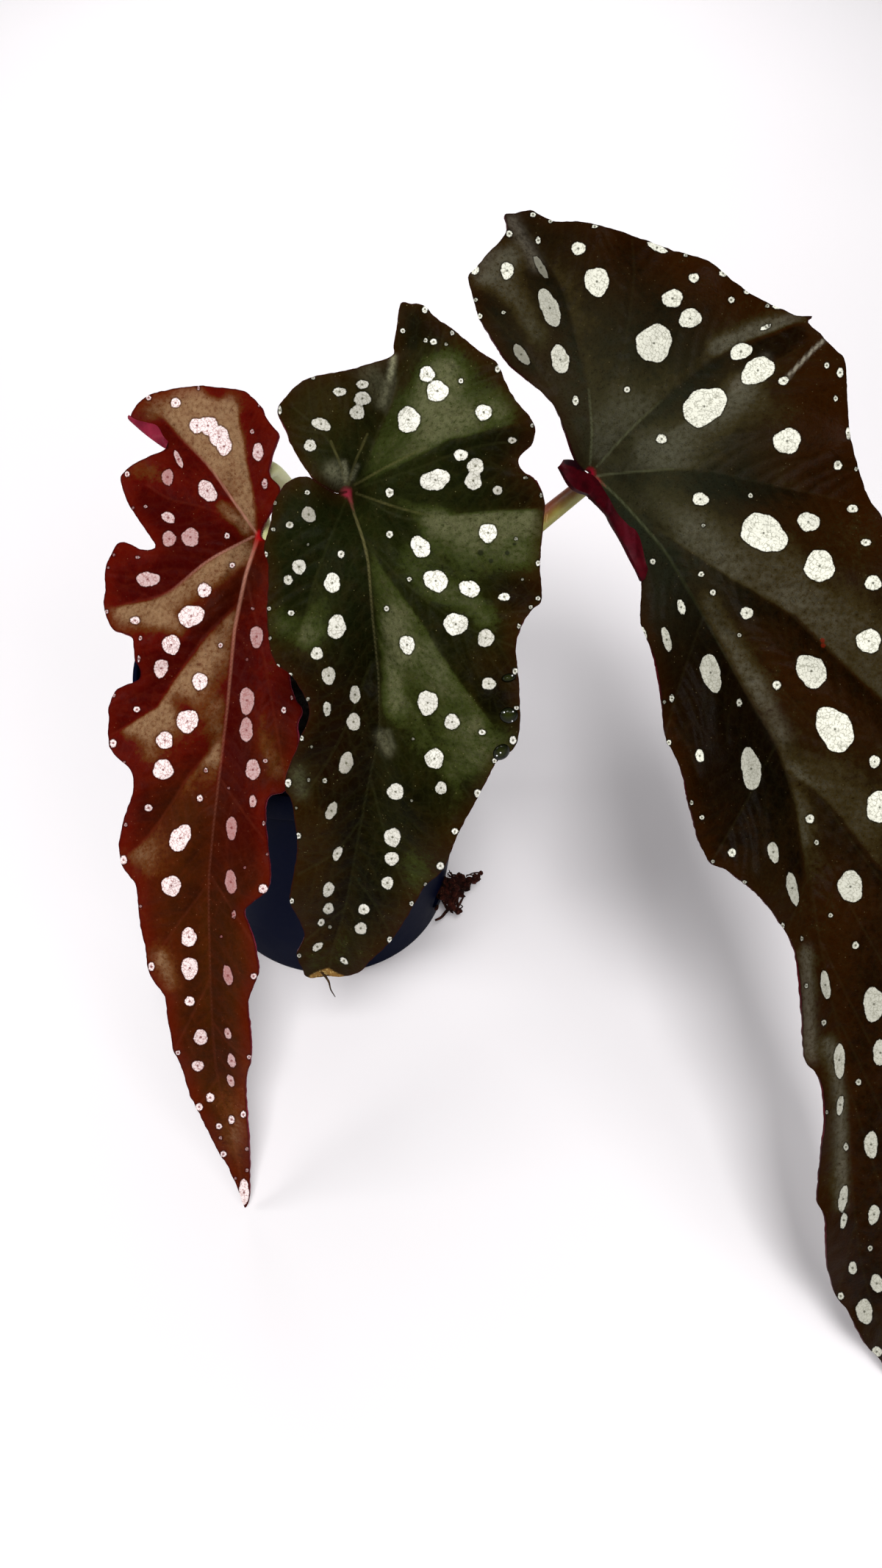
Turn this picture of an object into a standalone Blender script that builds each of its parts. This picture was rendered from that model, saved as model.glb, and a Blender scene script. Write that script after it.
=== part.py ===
"""A potted polka-dot begonia: three long angel-wing leaves on one short cane, in a 9 cm nursery pot.

Units are metres and +Z is up. The origin is the centre of the pot's foot, on the surface that it stands on.
Each leaf's outline is drawn as it is seen from one fixed eye, in picture points, and every point is carried
along its own sight line onto a curved hanging surface, so that the leaf keeps its true size in space.
"""

import math

import bmesh
import bpy
import numpy as np
from mathutils import Vector, noise
from mathutils.geometry import delaunay_2d_cdt

MM = 0.001

# Pot
RIM_RADIUS = 44.5 * MM
SHOULDER_RADIUS = 42.4 * MM
BASE_RADIUS = 34.5 * MM
POT_HEIGHT = 95 * MM
RIM_BAND = 9.5 * MM
WALL = 1.2 * MM
FLOOR_TOP = 1.6 * MM
POT_SIDES = 48
DRAIN_HOLES = 6
DRAIN_RADIUS = 4.2 * MM
DRAIN_HEIGHT = 10.5 * MM
ROOT_HOLE_ANGLE = math.radians(-21)
GAP = 0.3 * MM

# Soil
SOIL_TOP = 85 * MM
SOIL_BUMP = 1.6 * MM
STEM_HOLE_DEPTH = 24 * MM

# Stems
CANE_RADIUS = 4.0 * MM
CANE_FOOT = (2 * MM, 4 * MM)
CANE_TOP = 131 * MM
CANE_NODES = (95 * MM, 108 * MM, 121 * MM)
PETIOLE_RADII = (2.9 * MM, 2.4 * MM, 2.3 * MM, 2.2 * MM, 1.8 * MM)
PETIOLE_OVERLAP = 1.5 * MM

# Blades
BLADE = 0.8 * MM
GRID_POINTS = 22
TIP_FADE = 70

# The eye that the outlines are seen from
EYE = np.array((33 * MM, -214 * MM, 302 * MM))
EYE_PITCH = math.radians(50)
EYE_ROLL = math.radians(1)
FOCAL = 1602
PICTURE_CENTRE = (600, 1066.5)

LEFT_LEAF = {
    "name": "leaf_left",
    "sinus": (355, 728),
    "tip": (334, 1643),
    "sinus_height": 140 * MM,
    "tip_height": 2 * MM,
    "bank": math.radians(-12),
    "arch": 15 * MM,
    "stalk_under": 3.4 * MM,
    "wave": 1.4 * MM,
    "wave_length": 118,
    "outline": [
        (355, 728), (368, 697), (381, 666), (367, 647), (367, 635), (370, 620), (379, 592), (372, 582),
        (363, 569), (356, 555), (344, 541), (329, 531), (296, 527), (273, 525), (240, 528), (217, 533),
        (201, 538), (186, 551), (178, 568), (189, 577), (207, 592), (228, 608), (207, 619), (186, 629),
        (171, 640), (164, 653), (172, 679), (185, 702), (199, 722), (211, 741), (207, 747), (191, 747),
        (179, 741), (166, 737), (158, 742), (152, 753), (144, 770), (143, 788), (143, 806), (141, 821),
        (144, 837), (153, 855), (168, 861), (179, 867), (182, 880), (184, 898), (191, 911), (190, 923),
        (179, 929), (158, 939), (148, 962), (148, 980), (148, 1011), (154, 1024), (166, 1036), (175, 1044),
        (181, 1057), (180, 1080), (172, 1103), (166, 1126), (162, 1151), (166, 1177), (176, 1192),
        (185, 1205), (188, 1232), (191, 1259), (198, 1291), (201, 1317), (209, 1335), (224, 1356),
        (228, 1388), (233, 1408), (236, 1429), (246, 1449), (259, 1490), (277, 1526), (297, 1567),
        (312, 1590), (330, 1634), (334, 1643), (339, 1631), (340, 1605), (339, 1564), (336, 1517),
        (335, 1470), (342, 1432), (338, 1376), (339, 1358), (349, 1332), (352, 1320), (346, 1282),
        (340, 1262), (333, 1240), (347, 1225), (360, 1215), (366, 1205), (368, 1184), (363, 1138),
        (361, 1115), (362, 1092), (370, 1081), (386, 1077), (396, 1062), (403, 1030), (406, 1006),
        (404, 985), (411, 965), (401, 950), (394, 923), (396, 895), (397, 850), (391, 790), (374, 745),
    ],
    "midrib": [(352, 727), (334, 783), (319, 857), (309, 965), (300, 1041), (291, 1118), (284, 1194),
               (284, 1250), (288, 1376), (296, 1464), (318, 1552), (334, 1640)],
    "creases": [
        (-1.2, 20, [(350, 727), (283, 633), (242, 592), (217, 561)]),
        (-1.0, 20, [(350, 727), (343, 666), (334, 622), (324, 577)]),
        (-1.2, 18, [(350, 727), (288, 694), (232, 679), (200, 660)]),
        (-1.4, 20, [(344, 730), (283, 763), (232, 804), (145, 829)]),
        (-1.4, 20, [(325, 820), (283, 860), (250, 906), (214, 962), (149, 1001)]),
        (-1.2, 20, [(305, 1000), (258, 1054), (232, 1095), (201, 1138), (168, 1169)]),
        (-1.0, 18, [(285, 1200), (240, 1260), (201, 1317)]),
        (-1.0, 16, [(334, 783), (360, 900), (388, 1060)]),
        (1.6, 24, [(320, 740), (250, 740), (200, 742)]),
        (1.6, 26, [(300, 820), (230, 862), (185, 880)]),
        (1.6, 26, [(290, 960), (225, 1045), (180, 1080)]),
        (1.2, 24, [(280, 1120), (225, 1190), (190, 1235)]),
    ],
    "curl": {
        "bend": [(178, 568), (189, 577), (207, 592), (228, 608)],
        "edge": [(182, 562), (207, 573), (219, 579), (229, 600)],
    },
}

CENTER_LEAF = {
    "name": "leaf_center",
    "sinus": (471, 669),
    "tip": (450, 1330),
    "sinus_height": 170 * MM,
    "tip_height": 60 * MM,
    "bank": math.radians(-6),
    "arch": 11 * MM,
    "stalk_under": 0.5 * MM,
    "wave": 1.2 * MM,
    "wave_length": 105,
    "outline": [
        (471, 669), (459, 671), (445, 664), (428, 652), (412, 633), (398, 609), (387, 582), (377, 559),
        (384, 545), (398, 529), (418, 515), (445, 508), (474, 503), (501, 495), (533, 484), (535, 470),
        (538, 454), (542, 427), (545, 412), (560, 413), (576, 415), (589, 428), (600, 437), (616, 447),
        (635, 463), (656, 480), (675, 492), (682, 505), (691, 526), (704, 547), (718, 563), (727, 578),
        (728, 590), (723, 606), (707, 621), (707, 633), (715, 644), (728, 653), (741, 680), (739, 714),
        (736, 748), (735, 774), (737, 815), (726, 828), (712, 846), (704, 868), (702, 886), (706, 924),
        (708, 975), (707, 992), (702, 1014), (688, 1027), (675, 1038), (662, 1062), (648, 1089),
        (632, 1118), (620, 1142), (608, 1174), (597, 1190), (578, 1206), (565, 1228), (546, 1260),
        (533, 1279), (517, 1295), (501, 1310), (493, 1320), (479, 1326), (463, 1329), (447, 1328),
        (420, 1330), (411, 1319), (404, 1298), (411, 1282), (414, 1268), (407, 1252), (398, 1236),
        (394, 1222), (397, 1201), (404, 1158), (403, 1134), (400, 1110), (396, 1089), (388, 1075),
        (388, 1062), (394, 1040), (403, 1019), (410, 1000), (418, 983), (421, 966), (416, 951),
        (407, 935), (396, 919), (383, 909), (375, 902), (367, 881), (364, 854), (363, 828), (365, 774),
        (359, 747), (363, 728), (368, 710), (372, 686), (378, 673), (388, 658), (404, 649), (423, 652),
        (446, 673),
    ],
    "midrib": [(474, 669), (482, 699), (494, 734), (501, 766), (507, 841), (515, 921), (516, 995),
               (501, 1067), (486, 1147), (471, 1228), (452, 1295), (448, 1328)],
    "creases": [
        (-5.0, 24, [(474, 669), (498, 633), (514, 588), (533, 547), (540, 515), (533, 484)]),
        (2.6, 26, [(500, 662), (528, 641), (568, 620), (608, 600), (661, 588), (720, 577)]),
        (-2.6, 26, [(490, 673), (554, 705), (661, 696), (735, 692)]),
        (2.4, 28, [(510, 740), (528, 793), (568, 841), (608, 895), (635, 935), (675, 988)]),
        (-1.6, 20, [(508, 850), (545, 930), (590, 1010), (640, 1085)]),
        (1.6, 24, [(520, 960), (545, 1040), (575, 1110), (600, 1165)]),
        (-1.2, 20, [(505, 1060), (520, 1120), (540, 1180), (560, 1225)]),
        (-1.6, 20, [(471, 680), (450, 731), (428, 790), (418, 828), (402, 884)]),
        (1.6, 24, [(480, 760), (462, 860), (440, 940), (425, 1000)]),
        (-1.2, 20, [(505, 900), (470, 990), (430, 1060), (400, 1095)]),
        (-1.0, 20, [(470, 640), (440, 590), (400, 555)]),
        (1.8, 22, [(500, 600), (470, 560), (460, 515)]),
    ],
}

RIGHT_LEAF = {
    "name": "leaf_right",
    "sinus": (803, 643),
    "tip": (1218, 1880),
    "sinus_height": 166 * MM,
    "tip_height": 3 * MM,
    "bank": math.radians(10),
    "arch": 17 * MM,
    "stalk_under": 1.3 * MM,
    "wave": 2.0 * MM,
    "wave_length": 170,
    "outline": [
        (803, 643), (794, 640), (783, 625), (768, 585), (753, 551), (731, 529), (709, 510), (690, 492),
        (675, 470), (661, 448), (650, 429), (644, 407), (638, 385), (638, 374), (650, 361), (664, 344),
        (681, 327), (690, 310), (687, 292), (701, 290), (722, 286), (738, 294), (757, 301), (786, 301),
        (812, 305), (842, 314), (875, 325), (909, 338), (938, 346), (960, 353), (979, 366), (997, 381),
        (1020, 398), (1045, 412), (1068, 422), (1101, 433), (1119, 457), (1138, 477), (1150, 492),
        (1153, 544), (1156, 585), (1162, 614), (1171, 647), (1182, 677), (1200, 703), (1215, 740),
        (1228, 800), (1236, 850), (1240, 900), (1246, 950), (1243, 1000), (1252, 1050), (1250, 1100),
        (1257, 1150), (1254, 1200), (1262, 1250), (1260, 1300), (1268, 1350), (1266, 1400),
        (1270, 1450), (1266, 1500), (1265, 1550), (1259, 1600), (1257, 1650), (1248, 1700),
        (1243, 1745), (1234, 1790), (1228, 1835), (1218, 1880), (1200, 1853), (1179, 1830),
        (1167, 1810), (1154, 1785), (1138, 1764), (1130, 1739), (1125, 1718), (1124, 1666),
        (1121, 1652), (1112, 1636), (1113, 1613), (1116, 1578), (1119, 1553), (1123, 1525),
        (1119, 1480), (1109, 1459), (1096, 1445), (1092, 1420), (1092, 1387), (1090, 1356),
        (1087, 1325), (1082, 1297), (1073, 1275), (1059, 1253), (1043, 1231), (1027, 1214),
        (1006, 1197), (987, 1183), (968, 1175), (957, 1159), (948, 1137), (942, 1112), (935, 1087),
        (931, 1062), (924, 1041), (915, 1022), (906, 1006), (902, 975), (899, 941), (894, 911),
        (886, 882), (872, 852), (871, 828), (873, 789), (868, 778), (858, 759), (845, 734),
        (831, 711), (824, 698), (806, 679), (800, 672),
    ],
    "midrib": [(812, 651), (842, 678), (879, 719), (909, 756), (957, 837), (994, 904), (1031, 971),
               (1056, 1012), (1084, 1100), (1101, 1184), (1115, 1278), (1134, 1372), (1152, 1470),
               (1158, 1595), (1172, 1718), (1200, 1817), (1218, 1880)],
    "creases": [
        (-2.0, 28, [(801, 633), (805, 585), (801, 529), (783, 455), (768, 400), (742, 351), (709, 303)]),
        (-2.0, 28, [(812, 633), (857, 585), (901, 544), (953, 499), (1008, 466), (1097, 433)]),
        (-1.6, 26, [(857, 614), (916, 585), (990, 536), (1045, 499), (1093, 470)]),
        (-2.0, 28, [(812, 647), (860, 642), (916, 638), (971, 642), (1027, 655), (1101, 670), (1175, 688)]),
        (-2.0, 28, [(827, 667), (879, 708), (953, 756), (1008, 793), (1064, 826), (1156, 911), (1235, 970)]),
        (-1.8, 28, [(957, 837), (1030, 900), (1120, 1000), (1240, 1120)]),
        (-1.8, 28, [(1031, 971), (1100, 1060), (1170, 1160), (1250, 1260)]),
        (-1.6, 26, [(1084, 1100), (1140, 1200), (1195, 1300), (1262, 1400)]),
        (-1.4, 24, [(1115, 1278), (1165, 1380), (1215, 1480), (1262, 1560)]),
        (-1.4, 22, [(957, 837), (925, 930), (905, 1000)]),
        (-1.4, 22, [(1056, 1012), (1010, 1100), (970, 1170)]),
        (-1.2, 20, [(1101, 1184), (1085, 1230), (1070, 1268)]),
        (2.4, 34, [(830, 560), (850, 470), (845, 380), (830, 320)]),
        (2.0, 34, [(900, 612), (990, 600), (1080, 560), (1145, 530)]),
        (2.0, 34, [(905, 690), (1000, 715), (1100, 765), (1200, 800)]),
        (2.4, 36, [(930, 735), (1020, 850), (1130, 930), (1230, 1040)]),
    ],
    "curl": {
        "bend": [(800, 672), (806, 679), (824, 698), (831, 711), (845, 734), (858, 759), (868, 778),
                 (873, 789)],
        "edge": [(809, 660), (816, 664), (829, 677), (838, 691), (852, 713), (868, 735), (876, 756),
                 (877, 776)],
    },
}

ROOT_SEED = 11


def picture_axes():
    """The eye's right, up and forward directions."""
    forward = np.array((0, math.cos(EYE_PITCH), -math.sin(EYE_PITCH)))
    level_up = np.array((0, math.sin(EYE_PITCH), math.cos(EYE_PITCH)))
    level_right = np.array((1.0, 0, 0))
    right = math.cos(EYE_ROLL) * level_right + math.sin(EYE_ROLL) * level_up
    up = math.cos(EYE_ROLL) * level_up - math.sin(EYE_ROLL) * level_right
    return right, up, forward


RIGHT, UP, FORWARD = picture_axes()


def sight_lines(points):
    """The direction from the eye through each picture point, one unit deep."""
    across = (points[:, 0] - PICTURE_CENTRE[0]) / FOCAL
    down = (points[:, 1] - PICTURE_CENTRE[1]) / FOCAL
    return FORWARD + across[:, None] * RIGHT - down[:, None] * UP


def at_height(point, height):
    """Where a picture point's sight line comes to this height."""
    line = sight_lines(np.array([point], float))[0]
    return EYE + line * (height - EYE[2]) / line[2]


def leaf_frame(leaf):
    """The plane that a leaf hangs along: its sinus, its length, and its down, across and face directions."""
    sinus = at_height(leaf["sinus"], leaf["sinus_height"])
    tip = at_height(leaf["tip"], leaf["tip_height"])
    length = np.linalg.norm(tip - sinus)
    down = (tip - sinus) / length
    across = RIGHT - down * RIGHT.dot(down)
    across /= np.linalg.norm(across)
    face = np.cross(down, across)
    if face.dot(EYE - sinus) < 0:
        face = -face
    bank = leaf["bank"]
    across, face = (math.cos(bank) * across - math.sin(bank) * face,
                    math.cos(bank) * face + math.sin(bank) * across)
    return sinus, length, down, across, face


def to_path(points, path):
    """Each point's distance to a path, and how far along the path the nearest place is."""
    path = np.asarray(path, float)
    start, step = path[:-1], np.diff(path, axis=0)
    size = np.maximum((step ** 2).sum(1), 1e-9)
    share = ((points[:, None] - start) * step).sum(2) / size
    share = np.clip(share, 0, 1)
    away = np.linalg.norm(points[:, None] - start - share[..., None] * step, axis=2)
    nearest = away.argmin(1)
    rows = np.arange(len(points))
    lengths = np.sqrt(size)
    before = np.concatenate(([0], np.cumsum(lengths)[:-1]))
    return away[rows, nearest], before[nearest] + share[rows, nearest] * lengths[nearest]


def relief(leaf, points, along):
    """How far the blade stands off its hanging plane: its arch, its creases at the veins and its waved edge."""
    height = 4 * leaf["arch"] * along * (1 - along)
    folds = np.zeros(len(points))
    near, _ = to_path(points, leaf["midrib"])
    folds -= 1.8 * MM * np.exp(-0.5 * (near / 20) ** 2)
    for depth, width, path in leaf["creases"]:
        near, _ = to_path(points, path)
        folds += depth * MM * np.exp(-0.5 * (near / width) ** 2)
    outline = leaf["outline"] + leaf["outline"][:1]
    near, where = to_path(points, outline)
    folds += leaf["wave"] * np.exp(-near / 30) * np.sin(2 * math.pi * where / leaf["wave_length"])
    from_tip = np.linalg.norm(points - np.array(leaf["tip"]), axis=1)
    return height + folds * np.clip(from_tip / TIP_FADE, 0, 1)


def on_leaf(leaf, points, lift=0.0):
    """The places in space of picture points on a leaf's upper face."""
    sinus, length, down, _, face = leaf_frame(leaf)
    lines = sight_lines(points)
    depth = (sinus - EYE).dot(face) / (lines @ face)
    flat = EYE + lines * depth[:, None]
    along = (flat - sinus) @ down / length
    stand = relief(leaf, points, along) + lift
    depth = ((sinus - EYE).dot(face) + stand) / (lines @ face)
    return EYE + lines * depth[:, None]


def inside(points, outline):
    """Which points lie inside a closed outline."""
    x, y = points[:, 0], points[:, 1]
    found = np.zeros(len(points), bool)
    for (ax, ay), (bx, by) in zip(outline, outline[1:] + outline[:1]):
        if ay == by:
            continue
        crosses = ((ay > y) != (by > y)) & (x < (bx - ax) * (y - ay) / (by - ay) + ax)
        found ^= crosses
    return found


def grid_inside(outline, spacing):
    """A triangular grid of points inside an outline, clear of its edge."""
    corners = np.array(outline, float)
    low, high = corners.min(0), corners.max(0)
    rows = np.arange(low[1], high[1], spacing * math.sqrt(0.75))
    found = []
    for number, y in enumerate(rows):
        first = low[0] + (number % 2) * spacing / 2
        found += [(x, y) for x in np.arange(first, high[0], spacing)]
    points = np.array(found)
    points = points[inside(points, outline)]
    near, _ = to_path(points, outline + outline[:1])
    return points[near > 0.55 * spacing]


def curl_rows(leaf, bend, edge, face):
    """Rows of points from a bend at the blade's edge to the free edge that is turned up over it."""
    low, high = on_leaf(leaf, np.array(bend, float)), on_leaf(leaf, np.array(edge, float))
    ends = np.sin(np.linspace(0, math.pi, len(bend))) ** 0.5
    stand = face * (0.35 + 0.65 * ends)[:, None]
    return [low + (high - low) * share + stand * lift * MM
            for share, lift in ((0.0, 0.9), (0.35, 1.9), (1.0, 2.4))]


def leaf_sheet(leaf):
    """The open upper face of a leaf as a bmesh, its faces towards the eye."""
    outline = leaf["outline"]
    flat = np.vstack([np.array(outline, float), grid_inside(outline, GRID_POINTS)])
    ring = list(range(len(outline)))
    made = delaunay_2d_cdt([Vector(point) for point in flat], [], [ring], 1, 1e-4)
    flat = np.array([tuple(point) for point in made[0]])
    sheet = bmesh.new()
    corners = [sheet.verts.new(place) for place in on_leaf(leaf, flat)]
    for face in made[2]:
        sheet.faces.new([corners[index] for index in face])
    if "curl" in leaf:
        add_curl(sheet, corners, flat, leaf)
    sheet.normal_update()
    faces = list(sheet.faces)
    if faces[0].normal.dot(Vector(EYE) - faces[0].calc_center_median()) < 0:
        bmesh.ops.reverse_faces(sheet, faces=faces)
    return sheet


def add_curl(sheet, corners, flat, leaf):
    """Joins the turned-up strip to the sheet along its bend."""
    bend, edge = leaf["curl"]["bend"], leaf["curl"]["edge"]
    face = leaf_frame(leaf)[4]
    first = [corners[int(np.linalg.norm(flat - np.array(point), axis=1).argmin())] for point in bend]
    rows = [first]
    for places in curl_rows(leaf, bend, edge, face):
        rows.append([sheet.verts.new(place) for place in places])
    for lower, upper in zip(rows, rows[1:]):
        for index in range(len(first) - 1):
            a, b = lower[index], lower[index + 1]
            c, d = upper[index + 1], upper[index]
            sheet.faces.new((a, b, c))
            sheet.faces.new((a, c, d))


def add_object(name, data, collection, material=None):
    obj = bpy.data.objects.new(name, data)
    collection.objects.link(obj)
    if material:
        data.materials.append(material)
    return obj


def mesh_from(name, shape):
    mesh = bpy.data.meshes.new(name)
    shape.to_mesh(mesh)
    shape.free()
    return mesh


def smooth(mesh, angle=40):
    mesh.shade_smooth()
    mesh.set_sharp_from_angle(angle=math.radians(angle))


def material(name, colour, roughness):
    made = bpy.data.materials.new(name)
    made.use_nodes = True
    shader = made.node_tree.nodes["Principled BSDF"]
    shader.inputs["Base Color"].default_value = (*colour, 1)
    shader.inputs["Roughness"].default_value = roughness
    shader.inputs["Metallic"].default_value = 0
    made.diffuse_color = (*colour, 1)
    return made


def make_leaf(leaf, collection, surface):
    mesh = mesh_from(leaf["name"], leaf_sheet(leaf))
    obj = add_object(leaf["name"], mesh, collection, surface)
    smooth(mesh, 60)
    shell = obj.modifiers.new("thickness", "SOLIDIFY")
    shell.thickness = BLADE
    shell.offset = -1
    shell.use_even_offset = False
    return obj


def turned(name, profile, sides, collection, surface):
    """A turned solid from a profile that runs down its outer side and back up to its middle or its inside."""
    shape = bmesh.new()
    points = [shape.verts.new((radius, 0, height)) for radius, height in profile]
    for first, second in zip(points, points[1:]):
        shape.edges.new((first, second))
    obj = add_object(name, mesh_from(name, shape), collection, surface)
    screw = obj.modifiers.new("turn", "SCREW")
    screw.angle = 2 * math.pi
    screw.steps = sides
    screw.render_steps = sides
    screw.use_merge_vertices = True
    screw.merge_threshold = 1e-6
    return obj


def arc(centre, radius, first, last, steps):
    """Points of a round corner, angles in degrees from +X towards +Z."""
    turns = np.radians(np.linspace(first, last, steps + 1))
    return [(centre[0] + radius * math.cos(turn), centre[1] + radius * math.sin(turn)) for turn in turns]


def pot_profile():
    lip = WALL / 2
    foot = BASE_RADIUS - 1.2 * MM
    band_low = POT_HEIGHT - RIM_BAND
    profile = [(0, FLOOR_TOP), (BASE_RADIUS - WALL, FLOOR_TOP)]
    profile += [(SHOULDER_RADIUS - WALL, band_low + 0.6 * MM), (RIM_RADIUS - WALL, band_low + 1.8 * MM)]
    profile += arc((RIM_RADIUS - lip, POT_HEIGHT - lip), lip, 180, 0, 4)
    profile += [(RIM_RADIUS, band_low + 0.6 * MM), (RIM_RADIUS - 0.4 * MM, band_low)]
    profile += [(SHOULDER_RADIUS, band_low - 0.4 * MM), (BASE_RADIUS, 1.6 * MM)]
    profile += [(foot, 0), (0, 0)]
    return profile


def wall_radius(height):
    """The outer radius of the pot's plain wall at a height."""
    low, high = 1.6 * MM, POT_HEIGHT - RIM_BAND - 0.4 * MM
    return BASE_RADIUS + (SHOULDER_RADIUS - BASE_RADIUS) * (height - low) / (high - low)


def drain_angles():
    return [ROOT_HOLE_ANGLE + 2 * math.pi * number / DRAIN_HOLES for number in range(DRAIN_HOLES)]


def rod(name, start, end, radius, sides, collection):
    """A straight round rod between two places."""
    start, end = Vector(start), Vector(end)
    shape = bmesh.new()
    length = (end - start).length
    bmesh.ops.create_cone(shape, cap_ends=True, segments=sides, radius1=radius, radius2=radius, depth=length)
    obj = add_object(name, mesh_from(name, shape), collection)
    obj.location = (start + end) / 2
    obj.rotation_euler = (end - start).to_track_quat("Z", "Y").to_euler()
    return obj


def as_helper(obj):
    obj.hide_render = True
    obj.display_type = "WIRE"
    return obj


def boolean(obj, other, operation):
    cut = obj.modifiers.new(operation.lower(), "BOOLEAN")
    cut.operation = operation
    cut.object = other
    return cut


def make_pot(collection, cutters, surface):
    pot = turned("pot", pot_profile()[::-1], POT_SIDES, collection, surface)
    for number, angle in enumerate(drain_angles()):
        out = Vector((math.cos(angle), math.sin(angle), 0))
        middle = out * wall_radius(DRAIN_HEIGHT) + Vector((0, 0, DRAIN_HEIGHT))
        reach = out * 5 * MM
        hole = rod(f"drain_cutter_{number}", middle - reach, middle + reach, DRAIN_RADIUS, 16, cutters)
        boolean(pot, as_helper(hole), "DIFFERENCE")
    return pot


def make_soil(collection, cutters, surface):
    """Peat that fills the pot, with a lumpy top and a plain hole for the cane."""
    edge_drop = 3 * MM
    inner = BASE_RADIUS - WALL - GAP - 0.1 * MM
    high = wall_radius(SOIL_TOP - edge_drop) - WALL - GAP - 0.1 * MM
    bottom = FLOOR_TOP + GAP
    shape = bmesh.new()
    rings, sides = 8, POT_SIDES
    for ring in range(rings + 1):
        radius = high * ring / rings
        for side in range(sides if ring else 1):
            turn = 2 * math.pi * side / sides
            x, y = radius * math.cos(turn), radius * math.sin(turn)
            bump = noise.noise(Vector((x, y, 0)) / (7 * MM)) * SOIL_BUMP * min(1, 2 * (1 - ring / rings))
            shape.verts.new((x, y, SOIL_TOP + bump - edge_drop * (ring / rings) ** 4))
    shape.verts.ensure_lookup_table()
    top = list(shape.verts)

    def at(ring, side):
        return top[0] if ring == 0 else top[1 + (ring - 1) * sides + side % sides]

    for ring in range(rings):
        for side in range(sides):
            corners = [at(ring, side), at(ring + 1, side), at(ring + 1, side + 1)]
            shape.faces.new(corners)
            if ring:
                shape.faces.new([at(ring, side), at(ring + 1, side + 1), at(ring, side + 1)])
    foot = [shape.verts.new((inner * math.cos(2 * math.pi * side / sides),
                             inner * math.sin(2 * math.pi * side / sides), bottom))
            for side in range(sides)]
    for side in range(sides):
        following = (side + 1) % sides
        shape.faces.new([at(rings, side), foot[side], foot[following], at(rings, following)])
    shape.faces.new(foot[::-1])
    bmesh.ops.recalc_face_normals(shape, faces=list(shape.faces))
    soil = add_object("soil", mesh_from("soil", shape), collection, surface)
    low = SOIL_TOP - STEM_HOLE_DEPTH
    hole = rod("stem_hole_cutter", (*CANE_FOOT, low), (*CANE_FOOT, SOIL_TOP + 10 * MM),
               CANE_RADIUS + GAP + 0.1 * MM, 20, cutters)
    boolean(soil, as_helper(hole), "DIFFERENCE")
    return soil


def smooth_path(places, steps):
    """A Catmull-Rom curve through the places, with this many steps for each stretch."""
    places = [Vector(place) for place in places]
    ends = [places[0] * 2 - places[1]] + places + [places[-1] * 2 - places[-2]]
    found = []
    for a, b, c, d in zip(ends, ends[1:], ends[2:], ends[3:]):
        for step in range(steps):
            t = step / steps
            found.append(0.5 * (2 * b + (c - a) * t + (2 * a - 5 * b + 4 * c - d) * t ** 2
                                + (3 * b - 3 * c + d - a) * t ** 3))
    return found + [places[-1]]


def tube(name, path, radii, collection, surface, resolution=2):
    """A round tube along a path, its radius read from a few values spread evenly along it."""
    curve = bpy.data.curves.new(name, "CURVE")
    curve.dimensions = "3D"
    curve.bevel_depth = 1
    curve.bevel_resolution = resolution
    curve.use_fill_caps = True
    spline = curve.splines.new("POLY")
    spline.points.add(len(path) - 1)
    places = np.linspace(0, 1, len(path))
    widths = np.interp(places, np.linspace(0, 1, len(radii)), radii)
    for point, place, width in zip(spline.points, path, widths):
        point.co = (*place, 1)
        point.radius = width
    return add_object(name, curve, collection, surface)


def cane_path():
    foot = Vector((*CANE_FOOT, SOIL_TOP - STEM_HOLE_DEPTH + GAP))
    return [foot, foot + Vector((0, 0, STEM_HOLE_DEPTH + 6 * MM)),
            Vector((CANE_FOOT[0] + 0.6 * MM, CANE_FOOT[1] + 0.6 * MM, 112 * MM)),
            Vector((CANE_FOOT[0] + 1.6 * MM, CANE_FOOT[1] + 1.4 * MM, CANE_TOP))]


def cane_radius(height):
    """The cane's radius at a height, with its taper and the swelling at each node."""
    swell = sum(math.exp(-((height - node) / (2.2 * MM)) ** 2) for node in CANE_NODES)
    taper = max(0, height - SOIL_TOP) / (CANE_TOP - SOIL_TOP)
    return CANE_RADIUS - 0.7 * MM * taper + 0.7 * MM * swell


def make_cane(collection, surface):
    """The short main cane with a swelling at each node, closed by a blunt growing tip."""
    path = smooth_path(cane_path(), 9)
    radii = [cane_radius(place.z) for place in path]
    radii[-2:] = [2.4 * MM, 1.2 * MM]
    return tube("cane", path, radii, collection, surface, 3)


def cane_axis(height):
    """The middle of the cane at a height."""
    path = smooth_path(cane_path(), 9)
    heights = [place.z for place in path]
    return Vector([np.interp(height, heights, [place[axis] for place in path]) for axis in range(3)])


def under_leaf(leaf, point, depth):
    """A place under the blade, straight in from a picture point on its face."""
    face = leaf_frame(leaf)[4]
    return Vector(on_leaf(leaf, np.array([point], float))[0] - face * depth)


def petiole_end(leaf):
    """Where a stalk meets the back of its leaf, just below the sinus."""
    down = leaf_frame(leaf)[2]
    return under_leaf(leaf, leaf["sinus"], leaf["stalk_under"]) + Vector(down) * PETIOLE_OVERLAP


def petiole_routes():
    """Each stalk: its leaf, its node on the cane, the way it leaves, free places, and places under its blade."""
    return (
        ("petiole_left", LEFT_LEAF, CANE_NODES[1], 112, [(-1.6, 17.5, 121), (-4, 18, 131.5)],
         [((350, 640), 7.8 * MM), ((340, 657), 5.6 * MM), ((341, 681), 4.7 * MM), ((347, 706), 3.9 * MM)]),
        ("petiole_center", CENTER_LEAF, CANE_NODES[2], -85, [(6, -10, 131), (10, -19, 150)], []),
        ("petiole_right", RIGHT_LEAF, CANE_NODES[0], -8, [(15, 3, 99.5), (27, -1, 112), (40, -7, 129),
                                                       (52, -11, 146)], []),
    )


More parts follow.
